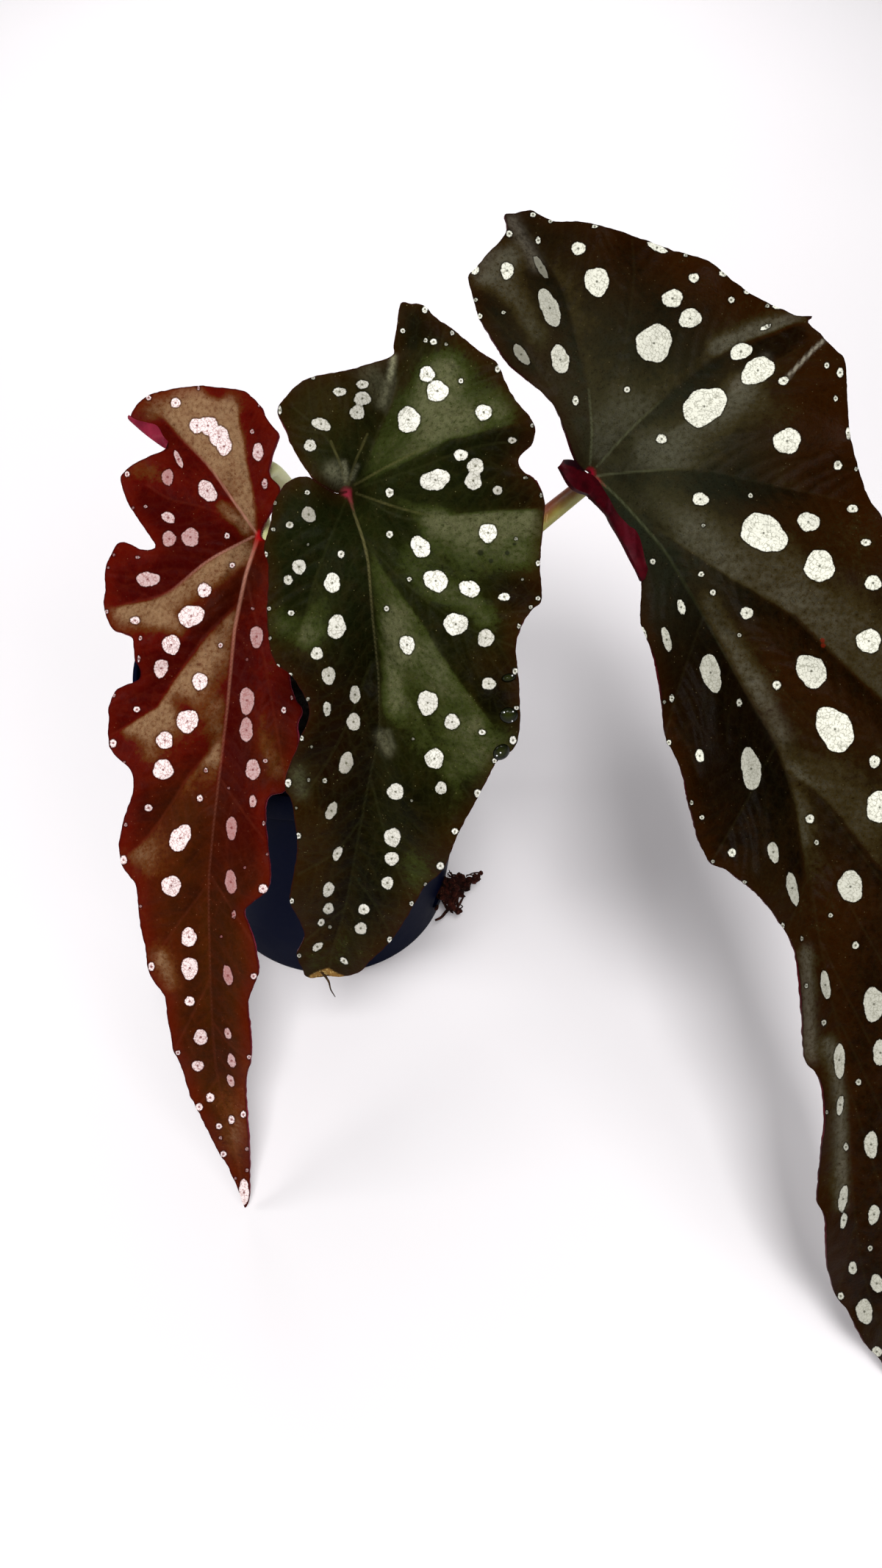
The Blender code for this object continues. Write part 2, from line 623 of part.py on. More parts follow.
def make_petioles(collection, surface):
    """The stalks: straight out of a node on the cane, then on a curve to the back of the sinus."""
    made = []
    for name, leaf, height, angle, free, tucked in petiole_routes():
        axis = cane_axis(height)
        out = Vector((math.cos(math.radians(angle)), math.sin(math.radians(angle)), 0))
        start = axis + out * (cane_radius(height) + GAP)
        places = [start, start + out * 3 * MM + Vector((0, 0, 1 * MM))]
        places += [Vector(place) * MM for place in free]
        places += [under_leaf(leaf, point, depth) for point, depth in tucked]
        path = smooth_path([*places, petiole_end(leaf)], 5)
        made.append(tube(name, path, PETIOLE_RADII, collection, surface))
    return made


def solid_copy(obj, collection):
    """A mesh object with the evaluated shape of a curve, its caps joined, in place of the curve."""
    bpy.context.view_layer.update()
    graph = bpy.context.evaluated_depsgraph_get()
    mesh = bpy.data.meshes.new_from_object(obj.evaluated_get(graph))
    shape = bmesh.new()
    shape.from_mesh(mesh)
    bmesh.ops.remove_doubles(shape, verts=shape.verts, dist=1e-6)
    bmesh.ops.recalc_face_normals(shape, faces=list(shape.faces))
    shape.to_mesh(mesh)
    shape.free()
    copy = bpy.data.objects.new(obj.name, mesh)
    copy.matrix_world = obj.matrix_world.copy()
    name = obj.name
    bpy.data.objects.remove(obj)
    copy.name = name
    collection.objects.link(copy)
    return copy


def make_roots(collection, cutters, surface):
    """A small clump of roots and peat that has grown out of one drain hole."""
    out = Vector((math.cos(ROOT_HOLE_ANGLE), math.sin(ROOT_HOLE_ANGLE), 0))
    aside = Vector((-out.y, out.x, 0))
    wall = wall_radius(DRAIN_HEIGHT)
    middle = out * wall + Vector((0, 0, DRAIN_HEIGHT))
    shape = bmesh.new()
    bmesh.ops.create_icosphere(shape, subdivisions=3, radius=1)
    lump = Vector((4.6, 4.4, 5.2)) * MM
    for vert in shape.verts:
        rough = 1 + 0.28 * noise.noise(vert.co * 2.3) + 0.12 * noise.noise(vert.co * 6.1)
        vert.co = Vector([c * s for c, s in zip(vert.co, lump)]) * rough
    clump = add_object("root_clump", mesh_from("root_clump", shape), collection, surface)
    clump.location = middle + out * 5.9 * MM + Vector((0, 0, 0.5 * MM))
    plug = rod("root_plug", middle - out * (WALL - 0.2 * MM), middle + out * 3 * MM,
               DRAIN_RADIUS - GAP - 0.5 * MM, 12, cutters)
    boolean(clump, as_helper(plug), "UNION")
    draws = np.random.default_rng(ROOT_SEED)
    for number in range(9):
        start = clump.location + out * draws.uniform(-1, 2) * MM
        reach = out * draws.uniform(5, 9.5) + aside * draws.uniform(-8, 8) + Vector((0, 0, draws.uniform(-6, 8)))
        bow = Vector(draws.uniform(-2.5, 2.5, 3)) * MM
        end = start + reach * MM
        path = smooth_path([start, start + reach * 0.5 * MM + bow, end], 4)
        strand = tube(f"root_strand_{number}", path, [0.9 * MM, 0.6 * MM, 0.45 * MM], cutters, None, 1)
        boolean(clump, as_helper(solid_copy(strand, cutters)), "UNION")
    return clump


def main():
    for obj in list(bpy.data.objects):
        bpy.data.objects.remove(obj)
    scene = bpy.context.scene.collection
    plant = bpy.data.collections.new("potted_begonia")
    cutters = bpy.data.collections.new("cutters")
    scene.children.link(plant)
    scene.children.link(cutters)
    make_pot(plant, cutters, material("pot_plastic", (0.004, 0.007, 0.018), 0.45))
    make_soil(plant, cutters, material("peat", (0.025, 0.016, 0.010), 0.95))
    stem = material("stem", (0.30, 0.22, 0.06), 0.5)
    make_cane(plant, stem)
    make_petioles(plant, stem)
    make_roots(plant, cutters, material("roots", (0.05, 0.03, 0.02), 0.9))
    make_leaf(LEFT_LEAF, plant, material("leaf_red", (0.16, 0.03, 0.01), 0.35))
    make_leaf(CENTER_LEAF, plant, material("leaf_green", (0.05, 0.07, 0.02), 0.35))
    make_leaf(RIGHT_LEAF, plant, material("leaf_dark", (0.05, 0.03, 0.01), 0.35))


main()
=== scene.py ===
"""The looks of the potted polka-dot begonia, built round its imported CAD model.

Units are metres, +Z is up, and the origin is the centre of the pot's foot. The leaves repeat the CAD model's
way of drawing: outlines, veins and spots are read from the photograph in its 1200 x 2133 picture points, and
each point is carried along its sight line from the camera onto the leaf's hanging surface.
"""

import math

import bmesh
import bpy
import numpy as np
from mathutils import Matrix, Vector, noise
from mathutils.geometry import delaunay_2d_cdt
from mathutils.kdtree import KDTree


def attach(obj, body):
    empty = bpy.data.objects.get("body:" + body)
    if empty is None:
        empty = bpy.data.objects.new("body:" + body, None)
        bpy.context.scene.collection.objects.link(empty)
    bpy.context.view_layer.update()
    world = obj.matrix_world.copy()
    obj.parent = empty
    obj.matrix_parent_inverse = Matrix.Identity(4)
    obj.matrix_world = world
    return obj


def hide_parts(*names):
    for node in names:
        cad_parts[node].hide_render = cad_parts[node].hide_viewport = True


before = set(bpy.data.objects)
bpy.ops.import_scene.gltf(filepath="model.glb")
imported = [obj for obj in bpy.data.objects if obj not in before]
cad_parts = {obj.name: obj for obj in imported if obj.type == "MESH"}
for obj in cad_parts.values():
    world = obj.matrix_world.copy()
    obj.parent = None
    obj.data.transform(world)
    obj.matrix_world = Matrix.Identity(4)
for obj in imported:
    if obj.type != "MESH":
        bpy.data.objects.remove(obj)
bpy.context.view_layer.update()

MM = 0.001

# The camera, which is also the eye that the outlines are seen from
EYE = np.array((33 * MM, -214 * MM, 302 * MM))
EYE_PITCH = math.radians(50)
EYE_ROLL = math.radians(1)
FOCAL = 1602
PICTURE = (1200, 2133)
PICTURE_CENTRE = (600, 1066.5)

# Pot, soil and cane, as in the CAD model
RIM_RADIUS = 44.5 * MM
SHOULDER_RADIUS = 42.4 * MM
BASE_RADIUS = 34.5 * MM
POT_HEIGHT = 95 * MM
RIM_BAND = 9.5 * MM
BAND_LOW = POT_HEIGHT - RIM_BAND
WALL = 1.2 * MM
FLOOR_TOP = 1.6 * MM
POT_SIDES = 144
DRAIN_HOLES = 6
DRAIN_RADIUS = 4.2 * MM
DRAIN_HEIGHT = 10.5 * MM
FOOT_CORNER = 1.2 * MM
WALL_FOOT = 1.6 * MM  # the heights where the plain wall begins and ends
WALL_TOP = BAND_LOW - 0.4 * MM
ROOT_HOLE_ANGLE = math.radians(-21)
GAP = 0.3 * MM
SOIL_INSET = 0.1 * MM  # beyond the gap, so that the rounder soil clears the wall
SOIL_TOP = 85 * MM
CANE_RADIUS = 4.0 * MM
CANE_FOOT = (2 * MM, 4 * MM)
CANE_TOP = 131 * MM
CANE_NODES = (95 * MM, 108 * MM, 121 * MM)
CANE_TAPER = 0.7 * MM
NODE_SWELL = 0.7 * MM
NODE_RING = 0.25 * MM
STEM_HOLE_DEPTH = 24 * MM

# The blades' form. Widths and distances on a leaf are in picture points.
BLADE = 0.5 * MM  # thickness between the ribs
MIDRIB_FOLD = -1.8 * MM
MIDRIB_FOLD_WIDTH = 20
EDGE_STEP = 7.0  # between samples of the margin's wave, and how far each one is felt
EDGE_REACH = 30  # how far in from the margin its wave dies out
TIP_FADE = 70  # the relief dies out towards the tip over this much
VEIN_GROOVE = -0.30 * MM
SIDE_GROOVE = 0.13 * MM
QUILTING = 0.22 * MM
ROUGHNESS = 0.12 * MM
MIDRIB_RIB = 1.1 * MM
VEIN_RIB = 0.55 * MM
SIDE_RIB = 0.16 * MM
TEETH_START = 70  # how far from the sinus the margin's teeth grow
CURL_ROWS = 8  # of a turned-up margin, the first half of which go round its bend
CURL_RISE = 0.9  # mm

# Spots
MOST_LEAN = math.radians(34)  # in the sums that fit a leaning spot to its box
SLIMMEST = 0.09  # square of a spot's least width over its length
SPOT_WAVES = ((3, 1, 0.05), (5, 2, 0.035), (9, -1, 0.02))  # how many go round its edge, their phase and height
NO_SPOT = 60.0  # the distance given where no spot is near
SPOT_FIELD = 30  # how far round a spot its distance is worked out
MARK_STEP = 3.2  # between mesh points along a spot's edge
MARK_RING = 2.4  # from there to the ring of mesh points outside it

# Side veins: how far apart they start, how fast they grow and when they stop
SIDE_SPACING = 26
SIDE_STEP = 4
SIDE_STEPS = 22
SIDE_CLEAR = 9
SIDE_BEND = 0.035
SIDE_ANGLE = 52  # degrees off their main vein

FOLD_START = 25  # the first part of a fold, over which its light and shade come up
FOLD_END = 20  # the last part, over which they die out
FOLD_LINE = 2.5  # how fast light turns to shade across it
LINE_STEP = 1.5  # between samples of a vein
CHUNK = 4000  # points worked on at a time, to save memory
PAINT = 1.2  # a paint's linear colour for each unit of the screen colour that it shows

# Soil, crumbs and roots
SOIL_RINGS = 46
SOIL_SIDES = 150
SOIL_EDGE_DROP = 3 * MM
CRUMBS = 240
CRUMB_REACH = 38 * MM
CRUMB_SEED = 5
ROOT_SEED = 21
ROOT_OUT = 4 * MM  # from the pot's wall to the clump's middle
HOLE_CRUMBS = 26
ROOT_STRANDS = 54
STRAND_LENGTH = 4.5 * MM
STRAND_STEP = 0.5 * MM

# Stalks, from the cane to the leaf
STALK_RADII = (3.1 * MM, 2.4 * MM, 2.3 * MM, 2.2 * MM, 1.8 * MM)
STALK_OVERLAP = 1.5 * MM
STALK_SUNK = 0.6 * MM  # in the cane
STALK_START = 3.6  # mm that it runs straight out first

# Drops: height over the leaf, depth in it, and the rings and sides of each half
DROP_HEIGHT = 1.1 * MM
DROP_SUNK = 0.1 * MM
DROP_RINGS = 16
DROP_SIDES = 56

# The studio
FLOOR_REACH = 6
FLOOR_PAINTS = ((0.93, 0.895, 0.915, 1), (0.95, 0.92, 0.935, 1))
WORLD_PAINT = (0.93, 0.95, 1.0, 1)
WORLD_STRENGTH = 0.06
LAMPS = (  # name, place, what it is turned to, width, power
    ("key", (0.08, -0.67, 1.23), (0.03, 0, 0.05), 0.35, 12.6),
    ("right", (0.6, -0.81, 0.99), (0.03, 0, 0.05), 0.5, 3.2),
    ("left", (-1.14, -0.31, 0.7), (0.03, 0, 0.05), 0.7, 8.4),
    ("back", (0, 0.75, 0.45), (0, 0.6, 0), 0.8, 3.2),
)

# Vein paths that more than one of a leaf's lists follow
LEFT_MIDRIB = [(352, 727), (334, 783), (319, 857), (309, 965), (300, 1041), (291, 1118), (284, 1194), (284, 1250),
               (288, 1376), (296, 1464), (318, 1552), (334, 1640)]
CENTER_MIDRIB = [(474, 669), (482, 699), (494, 734), (501, 766), (507, 841), (515, 921), (516, 995), (501, 1067),
                 (486, 1147), (471, 1228), (452, 1295), (448, 1328)]
RIGHT_MIDRIB = [(812, 651), (842, 678), (879, 719), (909, 756), (957, 837), (994, 904), (1031, 971), (1056, 1012),
                (1084, 1100), (1101, 1184), (1115, 1278), (1134, 1372), (1152, 1470), (1158, 1595), (1172, 1718),
                (1200, 1817), (1218, 1880)]
LEFT_TOP = [(350, 727), (318, 682), (283, 633), (242, 592), (217, 561)]
LEFT_INNER = [(350, 727), (343, 666), (334, 622), (324, 577)]
LEFT_MIDDLE = [(305, 1000), (258, 1054), (232, 1095), (201, 1138), (168, 1169)]
LEFT_LOW = [(285, 1200), (240, 1260), (201, 1317)]
CENTER_LOW = [(508, 850), (545, 930), (590, 1010), (640, 1085)]
RIGHT_LOBE = [(801, 633), (805, 585), (801, 529), (783, 455), (768, 400), (742, 351), (709, 303)]
RIGHT_TOP = [(812, 633), (857, 585), (901, 544), (953, 499), (1008, 466), (1097, 433)]
RIGHT_SHOULDER = [(857, 614), (916, 585), (990, 536), (1045, 499), (1093, 470)]
RIGHT_ACROSS = [(812, 647), (860, 642), (916, 638), (971, 642), (1027, 655), (1101, 670), (1175, 688)]

# The leaves, in picture points. A row of creases is its depth in mm (less than 0 for a vein's groove), its width
# and its path. The light strokes hold painted light (below 0, painted shade) over the blade's folds, the sheen
# strokes painted highlights and a few scuffs, the shade strokes painted shade on the spots, and the brown strokes
# brown; each is a soft stroke (strength, width, path). Folds hold the painted light (below 0, painted shade) on the
# left and on the right of a vein, the width and the path; the dark marks (middle, radius) are dark blemishes and,
# on the right leaf, painted shade in a rolled margin's hollow; and spots are written as spot_reach says. A curl is
# a turned-up margin: its bend, its free edge, and how many of the bend's last places are joined to the blade.
LEFT_LEAF = {
    "name": "leaf_left",
    "sinus": (355, 728),
    "tip": (334, 1643),
    "sinus_height": 140 * MM,
    "tip_height": 2 * MM,
    "bank": math.radians(-12),
    "arch": 15 * MM,
    "stalk_under": 3.4 * MM,
    "wave": 1.4 * MM,
    "wave_length": 118,
    "spacing": 3.3,
    "outline": [
        (355, 728), (368, 697), (381, 666), (367, 647), (367, 635), (370, 620), (379, 592), (372, 582), (363, 569),
        (356, 555), (344, 541), (329, 531), (296, 527), (273, 525), (240, 528), (217, 533), (201, 538), (186, 551),
        (178, 568), (189, 577), (207, 592), (228, 608), (207, 619), (186, 629), (171, 640), (164, 653), (172, 679),
        (185, 702), (199, 722), (211, 741), (207, 747), (191, 747), (179, 741), (166, 737), (158, 742), (152, 753),
        (144, 770), (143, 788), (143, 806), (141, 821), (144, 837), (153, 855), (168, 861), (179, 867), (182, 880),
        (184, 898), (191, 911), (190, 923), (179, 929), (158, 939), (148, 962), (148, 980), (148, 1011),
        (154, 1024), (166, 1036), (175, 1044), (181, 1057), (180, 1080), (172, 1103), (166, 1126), (162, 1151),
        (166, 1177), (176, 1192), (185, 1205), (188, 1232), (191, 1259), (198, 1291), (201, 1317), (209, 1335),
        (224, 1356), (228, 1388), (233, 1408), (236, 1429), (246, 1449), (259, 1490), (277, 1526), (297, 1567),
        (312, 1590), (330, 1634), (334, 1643), (339, 1631), (340, 1605), (339, 1564), (336, 1517), (335, 1470),
        (342, 1432), (338, 1376), (339, 1358), (349, 1332), (352, 1320), (346, 1282), (340, 1262), (333, 1240),
        (347, 1225), (360, 1215), (366, 1205), (368, 1184), (363, 1138), (361, 1115), (362, 1092), (370, 1081),
        (386, 1077), (396, 1062), (403, 1030), (406, 1006), (404, 985), (411, 965), (401, 950), (394, 923),
        (396, 895), (397, 850), (391, 790), (374, 745),
    ],
    "midrib": LEFT_MIDRIB,
    "creases": [
        (-1.2, 20, [(350, 727), (283, 633), (242, 592), (217, 561)]), (-1.0, 20, LEFT_INNER),
        (-1.2, 18, [(350, 727), (288, 694), (232, 679), (200, 660)]),
        (-1.4, 20, [(344, 730), (283, 763), (232, 804), (145, 829)]),
        (-1.4, 20, [(325, 820), (283, 860), (250, 906), (214, 962), (149, 1001)]), (-1.2, 20, LEFT_MIDDLE),
        (-1.0, 18, LEFT_LOW), (-1.0, 16, [(334, 783), (360, 900), (388, 1060)]),
        (1.6, 24, [(320, 740), (250, 740), (200, 742)]), (1.6, 26, [(300, 820), (230, 862), (185, 880)]),
        (1.6, 26, [(290, 960), (225, 1045), (180, 1080)]), (1.2, 24, [(280, 1120), (225, 1190), (190, 1235)]),
    ],
    "veins": [
        [(300, 1060), (335, 1110), (358, 1140)], [(286, 1190), (318, 1240), (345, 1285)],
        [(287, 1330), (262, 1380), (238, 1428)], [(289, 1390), (312, 1420), (336, 1440)],
        [(297, 1465), (280, 1490), (268, 1508)],
    ],
    # Painted light (above 0) and painted shade (below 0) over the blade's folds
    "light": [
        (0.6, 20, [(270, 555), (290, 598), (300, 625)]), (-0.9, 6, [(288, 531), (298, 538)]),
        (0.9, 12, [(312, 548), (322, 600)]), (0.5, 14, [(250, 548), (275, 552)]),
        (0.5, 8, [(300, 548), (306, 560)]), (0.8, 15, [(215, 553), (255, 543)]),
        (0.6, 15, [(188, 640), (215, 650)]), (-0.6, 11, [(305, 640), (318, 668)]),
        (1.1, 8, [(302, 690), (316, 704), (334, 719)]), (-0.8, 24, [(200, 690), (240, 712), (235, 730)]),
        (-0.3, 24, [(180, 775), (230, 775)]), (0.6, 16, [(325, 748), (280, 785), (225, 826), (170, 832)]),
        (0.9, 10, [(212, 840), (232, 850), (248, 858)]),
        (-1.1, 11, [(335, 782), (312, 808), (288, 845), (255, 888), (215, 912)]),
        (0.5, 24, [(290, 885), (260, 925), (225, 978), (205, 990)]), (0.3, 12, [(192, 1014), (204, 1028)]),
        (-0.9, 9, [(240, 952), (252, 968)]), (-0.9, 12, [(160, 1008), (180, 1012)]),
        (-0.5, 14, [(182, 890), (190, 930)]), (-0.6, 18, [(175, 1055), (195, 1098)]),
        (-0.7, 15, [(285, 1090), (275, 1130), (262, 1165)]), (-0.4, 14, [(240, 1090), (222, 1112)]),
        (0.35, 14, [(175, 1160), (200, 1172)]), (0.5, 12, [(300, 960), (292, 1030)]),
        (0.9, 12, [(216, 1302), (232, 1335)]), (0.65, 11, [(352, 980), (362, 1020), (376, 1045)]),
        (-0.7, 14, [(392, 940), (398, 1010)]),
        (-0.8, 19, [(330, 870), (328, 960), (325, 1060), (332, 1150), (324, 1215)]),
        (-0.6, 20, [(268, 1215), (262, 1290), (276, 1400), (296, 1450)]), (-0.35, 14, [(318, 1240), (318, 1330)]),
        (0.4, 9, [(332, 1450), (330, 1520), (322, 1565)]), (0.3, 12, [(300, 1480), (312, 1540)]),
    ],
    "shade": [
        (0.95, 14, [(228, 640), (228, 655)]), (0.8, 20, [(215, 735), (262, 731)]),
        (0.6, 16, [(194, 788), (208, 788)]), (0.45, 16, [(351, 612), (343, 587)]),
        (0.5, 12, [(225, 704), (234, 704)]), (0.3, 14, [(278, 662), (286, 674)]),
        (0.85, 20, [(350, 860), (337, 950), (335, 995)]), (0.7, 18, [(344, 1040), (344, 1092)]),
        (0.95, 20, [(315, 1120), (314, 1205), (316, 1245), (310, 1330)]),
        (0.7, 14, [(310, 1400), (315, 1445), (314, 1475)]), (0.35, 12, [(219, 903), (219, 913)]),
        (0.25, 18, [(273, 1405), (269, 1455)]), (0.6, 12, [(361, 650), (360, 665)]),
        (0.7, 10, [(243, 616), (243, 634)]),
    ],
    # Painted light and shade on the two sides of each fold line
    "folds": [
        (1.0, -0.6, 44, LEFT_TOP), (-0.7, 0.8, 34, LEFT_INNER + [(322, 545)]),
        (-0.8, 0.9, 32, [(344, 730), (283, 763), (232, 804), (207, 816), (145, 829)]),
        (-0.8, 1.0, 38, [(325, 820), (283, 860), (250, 906), (214, 962), (181, 983), (149, 1001)]),
        (-0.4, 0.5, 34, LEFT_MIDDLE), (-0.1, 0.15, 26, LEFT_LOW), (0.35, -0.8, 20, LEFT_MIDRIB[:10]),
    ],
    "brown": [
        (1.0, 70, [(300, 1250), (290, 1400), (320, 1600)]), (0.9, 44, [(255, 1110), (250, 1250)]),
        (0.6, 26, [(370, 1010), (375, 1045)]), (0.5, 24, [(330, 780), (280, 830)]),
    ],
    "bold": [LEFT_TOP[:4], [(344, 730), (283, 763), (232, 804), (200, 818)], LEFT_MIDRIB[:4] + [(303, 1020)]],
    "curl": {
        "bend": [(178, 568), (189, 577), (207, 592), (228, 608)],
        "edge": [(180, 566), (192, 572), (207, 576), (221, 581), (229, 601)],
        "joined": 4,
    },
    "spots": [
        (239, 548, 13, 13), (268, 579, 20, 20), (283, 579, 26, 24), (298, 594, 26, 28), (305, 607, 20, 24),
        (202, 541, 7, 7), (351, 615, 14, 24), (343, 587, 5, 6), (360, 658, 7, 15), (243, 625, 8, 24, -25),
        (228, 649, 15, 22), (282, 668, 25, 29, -35), (173, 645, 6, 8), (229, 704, 18, 15, -30), (230, 733, 18, 21),
        (259, 731, 23, 25), (309, 729, 7, 8), (198, 689, 4, 4), (181, 691, 3, 3), (201, 788, 32, 19),
        (278, 803, 18, 19), (316, 769, 7, 7), (260, 838, 35, 29, 20), (184, 844, 13, 10), (233, 877, 24, 26),
        (300, 878, 6, 6), (349, 866, 17, 30), (344, 828, 4, 3), (145, 832, 4, 5), (187, 758, 6, 3),
        (155, 755, 3, 3), (147, 772, 3, 3), (191, 868, 4, 6), (270, 528, 3, 5), (353, 552, 3, 3),
        (219, 909, 19, 25, 15), (272, 927, 20, 23), (255, 981, 29, 31, 25), (224, 1007, 22, 23),
        (222, 1047, 27, 27, 25), (336, 953, 19, 37), (335, 993, 17, 33), (344, 1047, 19, 28), (361, 1035, 6, 5),
        (386, 966, 6, 9), (186, 965, 9, 7), (154, 1011, 9, 11), (280, 1048, 5, 6), (272, 1086, 8, 9),
        (202, 1099, 11, 9), (344, 1090, 9, 17), (315, 1126, 14, 32), (245, 1140, 29, 36, 30),
        (314, 1200, 15, 33, -5), (233, 1205, 26, 27), (168, 1170, 9, 12), (358, 1209, 12, 12, 30),
        (318, 1244, 5, 13), (171, 1122, 4, 4), (191, 1233, 3, 3), (155, 946, 4, 4), (169, 1037, 3, 3),
        (189, 896, 3, 10), (336, 897, 3, 3), (311, 1072, 3, 3), (333, 1180, 3, 3), (359, 1120, 3, 6),
        (364, 1162, 3, 3), (397, 949, 3, 6), (257, 1275, 20, 26), (258, 1317, 22, 30), (310, 1327, 13, 28, -12),
        (258, 1362, 13, 13), (273, 1411, 18, 21), (269, 1450, 16, 14), (310, 1406, 9, 16, -15),
        (315, 1443, 11, 19, -15), (314, 1470, 10, 17, -20), (286, 1493, 11, 12), (271, 1506, 10, 10),
        (315, 1523, 8, 12), (331, 1516, 7, 9), (298, 1532, 8, 8), (300, 1548, 4, 4), (304, 1570, 8, 8),
        (336, 1563, 4, 4), (336, 1592, 4, 4), (332, 1622, 13, 36), (320, 1603, 3, 3), (301, 1274, 3, 3),
        (206, 1315, 8, 12), (345, 1328, 8, 8), (242, 1432, 6, 6), (339, 1438, 5, 6),
    ],
}

